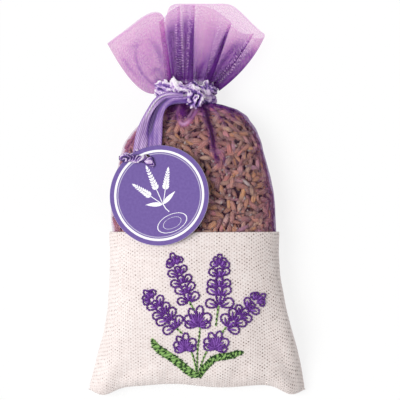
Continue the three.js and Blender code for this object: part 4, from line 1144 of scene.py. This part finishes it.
def buds(name, point, side, seed, material):
    """Dried buds under the film, lying every way in loose layers, with painted shade that darkens them with
    depth.
    """
    rng = np.random.default_rng(seed)
    parts = []
    for level, (count, gap, dark) in enumerate(BUD_LEVELS[:3 if side > 0 else 2]):
        share, y = spots(rng, count, gap, point, side)
        n = len(share)
        depth = 0.0012 + 0.0012 * level + rng.uniform(0, 0.0006, n)
        turn, tilt = rng.uniform(0, math.tau, n), rng.normal(0, 0.2, n)
        here, ahead, normal = on_heap(point, side, share, y, depth, turn, tilt)
        parts.append((here, ahead, normal, np.clip(dark + rng.uniform(-0.2, 0.3, n), 0, 1)))
    here, ahead, normal, deep = (np.concatenate(column) for column in zip(*parts))
    here[:, 2] = np.maximum(here[:, 2], LOWEST_BUD_Z)
    count = len(here)
    length, width = (np.clip(rng.normal(mean, spread, count), least, most)
                     for mean, spread, least, most in (BUD_LENGTH, BUD_WIDTH))
    sizes = np.stack([length, width, width * rng.uniform(0.75, 0.95, count)], 1)
    tints = np.where(rng.random(count) < 0.72, rng.beta(1.5, 2.1, count), rng.random(count))
    scatter(name, here, ahead, normal, sizes, tints, deep, rng.normal(0, 22, count), material)


def stalks(name, point, side, seed, material):
    """Broken stalks and crumbs of flowers between the buds."""
    rng = np.random.default_rng(seed)
    thin, small = STALK_COUNTS[side]
    share, y = spots(rng, thin + small, STALK_GAP, point, side)
    n = len(share)
    depth = 0.0007 + rng.uniform(0, 0.0012, n)
    turn, tilt = rng.uniform(0, math.tau, n), rng.normal(0, 0.25, n)
    here, ahead, normal = on_heap(point, side, share, y, depth, turn, tilt)
    here[:, 2] = np.maximum(here[:, 2], LOWEST_STALK_Z)
    long_one = rng.permutation(n) < thin
    length = np.where(long_one, rng.uniform(0.005, 0.009, n), rng.uniform(0.0009, 0.0021, n))
    width = np.where(long_one, rng.uniform(0.0005, 0.0008, n), rng.uniform(0.0005, 0.0011, n))
    tints = np.where(long_one, rng.uniform(0.45, 0.75, n), rng.choice([0.35, 0.86, 1.0, 1.0], n))
    # a little painted shade on each stalk, at random
    deep = rng.uniform(0, 0.2, n)
    sizes = np.stack([length, width, width * 0.8], 1)
    scatter(name, here, ahead, normal, sizes, tints, deep, rng.normal(0, 12, n), material)


def fill_core(material):
    """The mass of buds under the ones that show: a lumpy closed body, kept dark as painted shade between the
    buds.
    """
    xs = across(CORE_GRID)
    y = np.linspace(BOTTOM_Y + 0.004, NECK_Y + 0.001, CORE_GRID)[:, None]
    y = np.maximum(y, bottom_edge(xs) + CORE_INSET)
    front, back = (heap_point(point, side, xs, y, CORE_INSET) for name, point, side in SIDES)
    back[..., 0] = front[..., 0]
    lump = 0.0008 * ripples(front[..., 0], y, 0.0052, 71) * arch(xs)
    front[..., 2] += lump - 0.0004
    back[..., 2] = np.maximum(back[..., 2] + 0.6 * lump, 0.0013)
    middle = (front[..., 2] + back[..., 2]) / 2
    front[..., 2] = np.maximum(front[..., 2], middle + 0.0001)
    back[..., 2] = np.minimum(back[..., 2], middle - 0.0001)
    ring = np.concatenate([front, back[:, ::-1]], 1)
    core = new_object("lavender_mass", ring.reshape(-1, 3), closed_faces(*ring.shape[:2]))
    place(core, material, "pouch", "dried_lavender", "lavender_fill")


# Ribbon round the neck
def ruched_ring(name, level, tall, swell, seed, lean, tuft, widen, nodes, material):
    """One turn of satin, crumpled round the neck, with painted highlights on its folds, lighter left of the
    middle and in painted shade towards its right.
    """
    angle = np.linspace(0, math.tau, RING_COLUMNS, endpoint=False)
    t = np.linspace(-1, 1, RING_ROWS)[:, None]
    ring_x, ring_z = (np.sign(wave) * np.abs(wave) ** RING_SQUARENESS
                      for wave in (np.cos(angle), np.sin(angle)))
    x = NECK_OFFSET + 0.0004 + ring_x * (NECK_HALF_WIDTH - 0.0010 + swell)
    z = 0.0111 + ring_z * (0.0070 + swell)
    height = t * tall / 2
    sweep = height * 1.25 + 0.35 * x
    folds, fine = crumple(x, sweep, 0.0046, seed, z), crumple(x, sweep, 0.0023, seed + 9, z)
    reach = 0.0006 * folds + 0.0002 * fine + 0.0008 * (1 - t ** 2)
    long = np.hypot(ring_x, ring_z)
    scallop = 0.0008 * ripples(x, 0 * x, 0.0062, seed + 4, 6, z)
    scallop = scallop + 0.0005 * ripples(x, 0 * x, 0.0028, seed + 6, 5, z)
    px = x + ring_x / long * reach + 0.0006 * fine * t
    py = level + height * (1 + widen * np.cos(angle)) + t * np.abs(t) * scallop + lean * np.cos(angle)
    py = py + tuft * bell(x + 0.0103, 0.0012) * (ring_z > 0) * ease(t, 0, 1)
    points = np.stack([px, py + 0 * px, z + ring_z / long * reach], -1)
    middle = points[RING_ROWS // 2]
    gone = np.cumsum(np.linalg.norm(np.diff(middle, axis=0, append=middle[:1]), axis=1))
    broad = ripples(0.55 * x, 1.5 * sweep, 0.0040, seed + 5, 7, z)
    # painted light and shade: highlights on the folds, lighter left of the middle, darker to the right where
    # no white highlight is painted
    base = 0.28 + 0.34 * ease(x, 0.0035, 0.0085) - 0.26 * bell(x + 0.0045, 0.0045)
    painted_shading = np.maximum(base - 0.36 * folds - 0.30 * fine - 0.36 * broad, 0.26 * ease(x, 0.002, 0.008))
    ring = new_object(name, points.reshape(-1, 3), grid_faces(RING_ROWS, RING_COLUMNS, ring=True)[:, ::-1],
                      {"painted_shading": np.clip(painted_shading, 0, 1)}, paired(gone, height))
    thicken(ring, RING_THICKNESS)
    place(ring, material, "pouch", "satin_ribbon", *nodes)


def knot(material):
    """The knot: a lump of crumpled satin at the front of the neck, with one deep curl in it, painted shade in
    the curl's groove and painted highlights on its banks and folds.
    """
    rows, columns = KNOT_GRID
    tall, turn = np.meshgrid(np.linspace(-1.5, 1.5, rows), np.linspace(0, math.tau, columns, endpoint=False),
                             indexing="ij")
    way = np.stack([np.cos(tall) * np.cos(turn), np.sin(tall), np.cos(tall) * np.sin(turn)], -1)
    x, y, z = (way[..., i] * size for i, size in enumerate(KNOT_SIZE))
    folds, fine = crumple(x, y, 0.0038, 121, z), crumple(x, y, 0.0020, 133, z)
    off = near(smooth_line(from_pixels(KNOT_CURL), 24), x + KNOT_CENTRE[0], y + KNOT_CENTRE[1])[0]
    groove = bell(off, 0.00045) * (way[..., 2] > 0)
    bank = bell(off - 0.0010, 0.0005) * (way[..., 2] > 0)
    reach = 0.0007 * folds + 0.0003 * fine - 0.0010 * groove + 0.0005 * bank
    points = np.stack([x, y, z], -1) + way * reach[..., None] + np.array(KNOT_CENTRE)
    broad = ripples(x, 1.4 * y, 0.0042, 141, 7, z)
    # painted shade in the groove, painted highlights on its banks and folds
    painted_shading = 0.50 - 0.30 * folds - 0.26 * fine - 0.32 * broad + 0.9 * groove - 0.45 * bank
    made = new_object("ribbon_knot_satin", points.reshape(-1, 3), closed_faces(rows, columns, turn=-1),
                      {"painted_shading": np.clip(painted_shading, 0, 1)}, np.stack([x, y], -1))
    place(made, material, "pouch", "satin_ribbon", "ribbon_knot")


# Card tag, in the card's own axes with its middle at the origin
def in_tag(points):
    low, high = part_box("tag_card")
    turn = Matrix.Rotation(-TAG_DIP, 4, "X") @ Matrix.Rotation(-TAG_LEAN, 4, "Y")
    matrix = np.array(Matrix.Translation((low + high) / 2) @ turn)
    return np.asarray(points) @ matrix[:3, :3].T + matrix[:3, 3]


def tag(material):
    angle = np.linspace(0, math.tau, TAG_COLUMNS, endpoint=False)
    circle = np.stack([np.cos(angle), np.sin(angle)], 1)
    half = TAG_THICKNESS / 2
    low_edge = half - TAG_BEVEL
    inner, outer = TAG_HOLE + circle * TAG_HOLE_RADIUS, circle * TAG_RADIUS
    top = [(t, half, TAG_BEVEL if t in (0, 1) else 0)
           for t in (0, 0.008, 0.03, 0.08, 0.2, 0.4, 0.6, 0.8, 0.93, 0.985, 1)]
    under = [(t, -z, pull) for t, z, pull in top[::-1]]
    profile = [(0, low_edge, 0)] + top + [(1, low_edge, 0), (1, -low_edge, 0)] + under + [(0, -low_edge, 0)]
    rings, side, uv = [], [], []
    for t, z, pull in profile:
        at = mix(inner, outer, t) + circle * (pull if t == 0 else -pull)
        rings.append(raised(at, z))
        side.append(np.full(len(at), 1.0 if abs(z) < half else 0.0))
        uv.append(at)
    faces = grid_faces(len(rings), TAG_COLUMNS, ring=True, loop=True)[:, ::-1]
    card = new_object("tag_card_printed", in_tag(np.concatenate(rings)), faces,
                      {"side": np.concatenate(side)}, np.concatenate(uv), smooth=False)
    place(card, material, "tag", "tag_card", "tag_card")


def tag_ornament(ink):
    """A generic printed sprig in white: three stems of paired buds, two leaves, and a plain oval below."""
    axes = np.array([pointing(ORNAMENT_TILT), to_left(pointing(ORNAMENT_TILT))]).T
    outlines = []

    def turned(x, y):
        return axes @ np.array([x, y])

    def petal(root, heading, length, width):
        share = np.linspace(0, 1, 11)
        ahead = pointing(heading)
        off = to_left(ahead) * (width / 2 * np.sin(math.pi * share ** 0.75))[:, None]
        middle = root + ahead * (share * length)[:, None]
        outlines.append(np.concatenate([middle + off, (middle - off)[-2:0:-1]]))

    def stroke(points, width):
        line = smooth_line(points, 26)
        off = to_left(unit(np.gradient(line, axis=0))) * width / 2
        outlines.append(np.concatenate([line + off, (line - off)[::-1]]))

    for root, heading, tall in ORNAMENT_STEMS:
        start = turned(*root)
        way = math.radians(heading) + ORNAMENT_TILT
        ahead = pointing(way)
        stroke([start + ahead * tall * share for share in (0, 0.5, 0.94)], 0.00034)
        for k in range(7):
            size = 0.0023 * (1 - 0.07 * k)
            for aside in (0.75, -0.75):
                petal(start + ahead * tall * (0.42 + 0.085 * k), way + aside, size, size * 0.5)
        petal(start + ahead * tall * 0.98, way, 0.0023, 0.0011)
    for heading in (158, 22):
        petal(turned(0, -0.0042), math.radians(heading) + ORNAMENT_TILT, 0.0078, 0.0019)
    stroke([turned(0, -0.0034), turned(0.0003, -0.0062), turned(0.0012, -0.0084)], 0.0004)

    high, low = TAG_THICKNESS / 2 + INK_HEIGHT, TAG_THICKNESS / 2 - INK_SINK
    verts, faces, start = [], [], 0
    for outline in outlines:
        verts += [raised(outline, low), raised(outline, high)]
        faces += closed_faces(2, len(outline), start, turn=-1)
        start += 2 * len(outline)
    oval = np.linspace(0, math.tau, OVAL_COLUMNS, endpoint=False)
    for reach, width in ((1.0, 0.00024), (0.62, 0.00016)):
        ring = np.stack([np.cos(oval) * OVAL_SIZE[0] * reach, np.sin(oval) * OVAL_SIZE[1] * reach], 1)
        for larger, z in ((1 + width / 0.004, high), (1, high), (1, low), (1 + width / 0.004, low)):
            verts.append(raised(ring * larger @ axes.T + turned(*OVAL_PLACE), z))
        faces += grid_faces(4, OVAL_COLUMNS, start, ring=True, loop=True).tolist()
        start += 4 * OVAL_COLUMNS
    printed = new_object("tag_print", in_tag(np.concatenate(verts)), faces, smooth=False)
    place(printed, ink, "tag", "tag_card")


def tag_tie(material):
    """Crumpled ribbon through the hole and over the rim, and its flat end lying on the card."""
    hx, hy = TAG_HOLE
    top, under = TAG_THICKNESS / 2, -TAG_THICKNESS / 2
    over = [
        (0.0002, 0.0004, under - 0.0007), (-0.0002, 0.0002, 0), (-0.0012, 0, top + 0.0008),
        (-0.0034, -0.0001, top + 0.0011), (-0.0062, 0.0002, top + 0.0009), (-0.0088, 0.0004, top + 0.0008),
        (-0.0106, 0.0006, top + 0.0003), (-0.0112, 0.0008, under - 0.0002), (-0.0098, 0.0012, under - 0.0009),
        (-0.0070, 0.0022, under - 0.0009), (-0.0035, 0.0034, under - 0.0008),
        (-0.0010, 0.0040, under - 0.0007),
    ]
    spine = in_tag(smooth_line(np.array(over) + (hx, hy, 0), 110))
    share = np.linspace(0, 1, len(spine))

    def loop_folds(t, s):
        return crumple(s * 1.3 + 0 * t, t * 22, 2.6, 44)

    width = 0.0033 + 0.0006 * np.sin(share * 31) - 0.0014 * ease(share, 0.66, 0.75)
    # painted highlights and shade on the loop's crumples
    made = ribbon_mesh("tag_loop_satin", spine, width, 0.35 * np.sin(share * 19), 0.0004,
                       lambda t, s: 0.00060 * loop_folds(t, s),
                       lambda t, s: 0.62 - 1.3 * loop_folds(t, s), 14)
    place(made, material, "tag_tie", "satin_ribbon", "tag_loop")

    ahead = np.array([*pointing(math.radians(-49)), 0])
    start = np.array([hx + 0.0006, hy - 0.0002, top + 0.0009])
    route = [start + ahead * step + np.array([0, 0, rise]) for step, rise in
             ((0, 0), (0.0012, 0.0005), (0.0026, 0.0003), (0.0042, -0.0003))]
    spine = in_tag(smooth_line(route, 34))
    share = np.linspace(0, 1, len(spine))

    def end_folds(t, s):
        return crumple(s * 1.2 + 0 * t, t * 3, 2.2, 12)

    # painted highlights and shade on the end's crumples, and painted shade along its edges
    made = ribbon_mesh("ribbon_end_satin", spine, mix(0.0044, 0.0014, share ** 1.4), 0.1, 0.0003,
                       lambda t, s: 0.00050 * end_folds(t, s),
                       lambda t, s: 0.45 - 0.6 * end_folds(t, s) + 0.5 * ease(np.abs(s), 0.6, 1), 12)
    place(made, material, "tag_tie", "satin_ribbon", "ribbon_end")


# Stitching
class Stitches:
    """Threads gathered into one mesh: tubes laid on the linen along lines given from above."""

    def __init__(self, ground, rng):
        self.ground, self.rng, self.count = ground, rng, 0
        self.verts, self.faces, self.tint, self.uv = [], [], [], []

    def height(self, x, y):
        return self.ground.ray_cast(Vector((x, y, 0.1)), Vector((0, 0, -1)))[0].z

    def tube(self, line, radius, tint, lift, sink=0.0):
        """One stitch: rounded at both ends, which dip to the cloth by the sink."""
        line = np.array(line, float)
        rows = len(line)
        z = np.array([self.height(x, y) for x, y in line])
        share = np.linspace(0, 1, rows)
        hump = np.sin(math.pi * share) ** 0.5
        centre = np.column_stack([line, z + radius * (lift + sink * (hump - 1))])
        along = unit(np.gradient(centre, axis=0))
        level = unit(np.cross(along, (0, 0, 1.0)))
        steep = np.cross(level, along)
        girth = radius * np.clip(np.sqrt(np.clip(1 - (2 * share - 1) ** 6, 0, 1)), 0.35, 1)
        angle = np.linspace(0, math.tau, THREAD_SIDES, endpoint=False)
        ring = centre[:, None] + girth[:, None, None] * (
            level[:, None] * np.cos(angle)[None, :, None] + steep[:, None] * np.sin(angle)[None, :, None])
        self.faces += closed_faces(rows, THREAD_SIDES, self.count, turn=-1)
        self.verts.append(ring.reshape(-1, 3))
        self.uv.append(paired(angle / math.tau, gone_along(line)[:, None]).reshape(-1, 2))
        self.tint.append(np.full(rows * THREAD_SIDES, tint))
        self.count += rows * THREAD_SIDES

    def running(self, line, radius, tint, pitch, gap, lift=0.8):
        """Running stitches along a line, each a thread of its own."""
        line = np.array(line, float)
        gone = gone_along(line)
        count = max(1, round(gone[-1] / pitch))
        for k in range(count):
            at = np.linspace((k + gap / 2) / count, (k + 1 - gap / 2) / count, 5) * gone[-1]
            piece = np.stack([np.interp(at, gone, line[:, 0]), np.interp(at, gone, line[:, 1])], 1)
            self.tube(piece, radius, tint + self.rng.uniform(-0.08, 0.08), lift, sink=0.35)

    def petal(self, root, heading, length, width, fill):
        """A bold dark loop, and inside, clear of the loop, a core of paler strokes."""
        rng = self.rng
        ahead = pointing(heading)
        beside = to_left(ahead)
        turn = np.linspace(math.pi, -math.pi, 26)
        reach = (1 + np.cos(turn)) / 2
        half = width * 0.66 * np.sin(turn) * reach ** 0.5
        outline = root + ahead * (length * reach)[:, None] + beside * half[:, None]
        self.running(outline, PETAL_THREAD, rng.uniform(0, 0.14), PETAL_PITCH, gap=0)
        for k in range(fill + 1):
            off = beside * width * 0.17 * (2 * k - fill)
            start, end = 0.06 + rng.uniform(0, 0.08), rng.uniform(0.66, 0.76)
            line = [root + ahead * length * t + off * math.sin(math.pi * t)
                    for t in np.linspace(start, end, 5)]
            self.tube(line, PETAL_THREAD, rng.uniform(0.1, 0.7), lift=0.9, sink=0.4)

    def make(self, name, material, slot):
        made = new_object(name + "_stitched", np.concatenate(self.verts), self.faces,
                          {"tint": np.concatenate(self.tint)}, np.concatenate(self.uv))
        place(made, material, "pouch", slot, name)


def spike(work, base, tip, low_width, high_width):
    """A lavender spike: tiers of open petals beside and on its axis, smaller towards the tip."""
    rng = work.rng
    base, tip = np.array(from_pixel(*base)), np.array(from_pixel(*tip))
    axis = tip - base
    tall = np.linalg.norm(axis)
    way = math.atan2(axis[1], axis[0])
    beside = to_left(axis) / tall
    for k, petals in enumerate((TIER_PETALS, ODD_TIER_PETALS, TIER_PETALS, ODD_TIER_PETALS, TOP_PETALS)):
        width = mix(low_width, high_width, k / 4)
        root = base + axis * (0.188 * k) if k < 4 else tip - axis / tall * width * 0.63
        for degrees, length, wide in petals:
            size = width * rng.uniform(0.94, 1.08)
            heading = way + math.radians(degrees + rng.uniform(-9, 9))
            start = root + beside * 0.0007 * np.sign(degrees) + axis / tall * rng.uniform(-0.0005, 0.0005)
            work.petal(start, heading, size * length, size * wide, fill=0)
    for side in (-1, 1):
        line = np.array([base, base + axis * 0.86]) + beside * side * 0.0009
        work.running(line, SIDE_THREAD, 0.3, PETAL_PITCH, gap=0.25, lift=0.6)


def floret(work, centre, wide, tall, lean):
    """A flower head of one tier: two upright petals, two low ones at the sides and two between them."""
    root = np.array(from_pixel(*centre)) - np.array([0, tall * PIXEL * 0.48])
    size = wide * PIXEL
    for degrees, length, width, fill in FLORET_PETALS:
        heading = math.pi / 2 + lean + math.radians(degrees)
        work.petal(root, heading, size * length * 0.86, size * width * 0.86, fill)


def stem(work, route):
    line = smooth_line(from_pixels(route), 40)
    beside = to_left(unit(np.gradient(line, axis=0))) * 0.00014
    work.running(line, SIDE_THREAD, 0.7, STEM_PITCH, gap=0)
    over = (line + beside * work.rng.choice([-1, 1]))[3:]
    work.running(over, DASH_THREAD, 0.0, STEM_PITCH, gap=0.45, lift=1.4)


def leaf(work, route, width):
    """A leaf of slanting satin stitches, with short dark dashes over them."""
    rng = work.rng
    line = smooth_line(from_pixels(route), LEAF_STEPS)
    ahead = unit(np.gradient(line, axis=0))
    beside = to_left(ahead)
    for k in range(1, LEAF_STEPS):
        share = k / LEAF_STEPS
        half = width / 2 * min(1.0, (share / 0.16) ** 0.6) * min(1.0, ((1 - share) / 0.12) ** 0.7 + 0.35)
        reach = beside[k] * half + ahead[k] * half * 0.9
        shade = 0.60 + 0.24 * math.sin(k * 1.05) + rng.uniform(-0.2, 0.2)
        stitch = [mix(line[k] - reach, line[k] + reach, t) for t in np.linspace(0, 1, 5)]
        work.tube(stitch, LEAF_THREAD, shade, lift=0.5)
        if k % 3:
            continue
        for row in ((-0.8, 0.05, 0.8), (-0.4, 0.75), (-0.8, 0.35))[k // 3 % 3]:
            if rng.random() < 0.2:
                continue
            middle = line[k] + reach * (row + rng.uniform(-0.22, 0.22))
            dash = unit(beside[k] + ahead[k] * rng.uniform(0.2, 1.0)) * rng.uniform(0.0004, 0.0008)
            work.tube([middle - dash, middle, middle + dash], DASH_THREAD, -0.05, lift=1.7, sink=0.5)


def sprig(linen):
    """The stitched sprig on the front of the linen, one piece for each stitched solid."""
    violet = thread_material("violet_thread", linear(86, 32, 124), linear(162, 108, 206)), "violet_thread"
    green = thread_material("green_thread", linear(18, 54, 22), linear(170, 216, 124)), "green_thread"
    ground = BVHTree.FromObject(linen, bpy.context.evaluated_depsgraph_get())
    jobs = [(name, spike, rest, seed, violet) for name, *rest, seed in SPIKES]
    jobs += [(name, floret, (*rest, lean), seed, violet) for name, *rest, seed, lean in FLORETS]
    jobs += [(name, stem, (route,), len(name), green) for name, route in STEMS]
    jobs += [(name, leaf, rest, seed, green) for name, *rest, seed in LEAVES]
    for name, draw, rest, seed, thread in jobs:
        work = Stitches(ground, np.random.default_rng(seed))
        draw(work, *rest)
        work.make(name, *thread)


def build():
    camera()
    studio()
    satin = satin_material("satin_ribbon_twill", 0.00112, 0.45, 0.42)
    tail("ribbon_tail_left", LEFT_TAIL_ROUTE, 1, 3, satin)
    tail("ribbon_tail_right", RIGHT_TAIL_ROUTE, -1, 8, satin)

    linen = linen_material()
    front = linen_panel("linen_front", front_point, 1, 41, linen)
    linen_panel("linen_back", back_point, -1, 51, linen)
    for (name, point, side), rays in zip(SIDES, (FRONT_RAYS, BACK_RAYS)):
        film(f"organza_{name}_film", point, side, rays, organza_material(f"organza_{name}"))

    bud = bud_material()
    for (name, point, side), seed in zip(SIDES, (61, 62)):
        buds("lavender_buds_" + name, point, side, seed, bud)
        stalks("lavender_stalks_" + name, point, side, seed + 10, bud)
    fill_core(shaded_mass_material())

    bunched = satin_material("satin_ribbon_bunched", 0.0006, 0.27, 0.10)
    for turn in RING_TURNS:
        ruched_ring(*turn, bunched)
    knot(bunched)

    tag(card_material())
    tag_ornament(ink_material())
    tag_tie(bunched)
    sprig(front)

    cream = thread_material("cream_thread", linear(214, 200, 184), linear(240, 230, 220))
    for name in ("side_seam_left", "side_seam_right", "bottom_seam", "hem_seam_front", "hem_seam_back"):
        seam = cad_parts[name]
        seam.data.materials.clear()
        seam.data.materials.append(cream)


build()
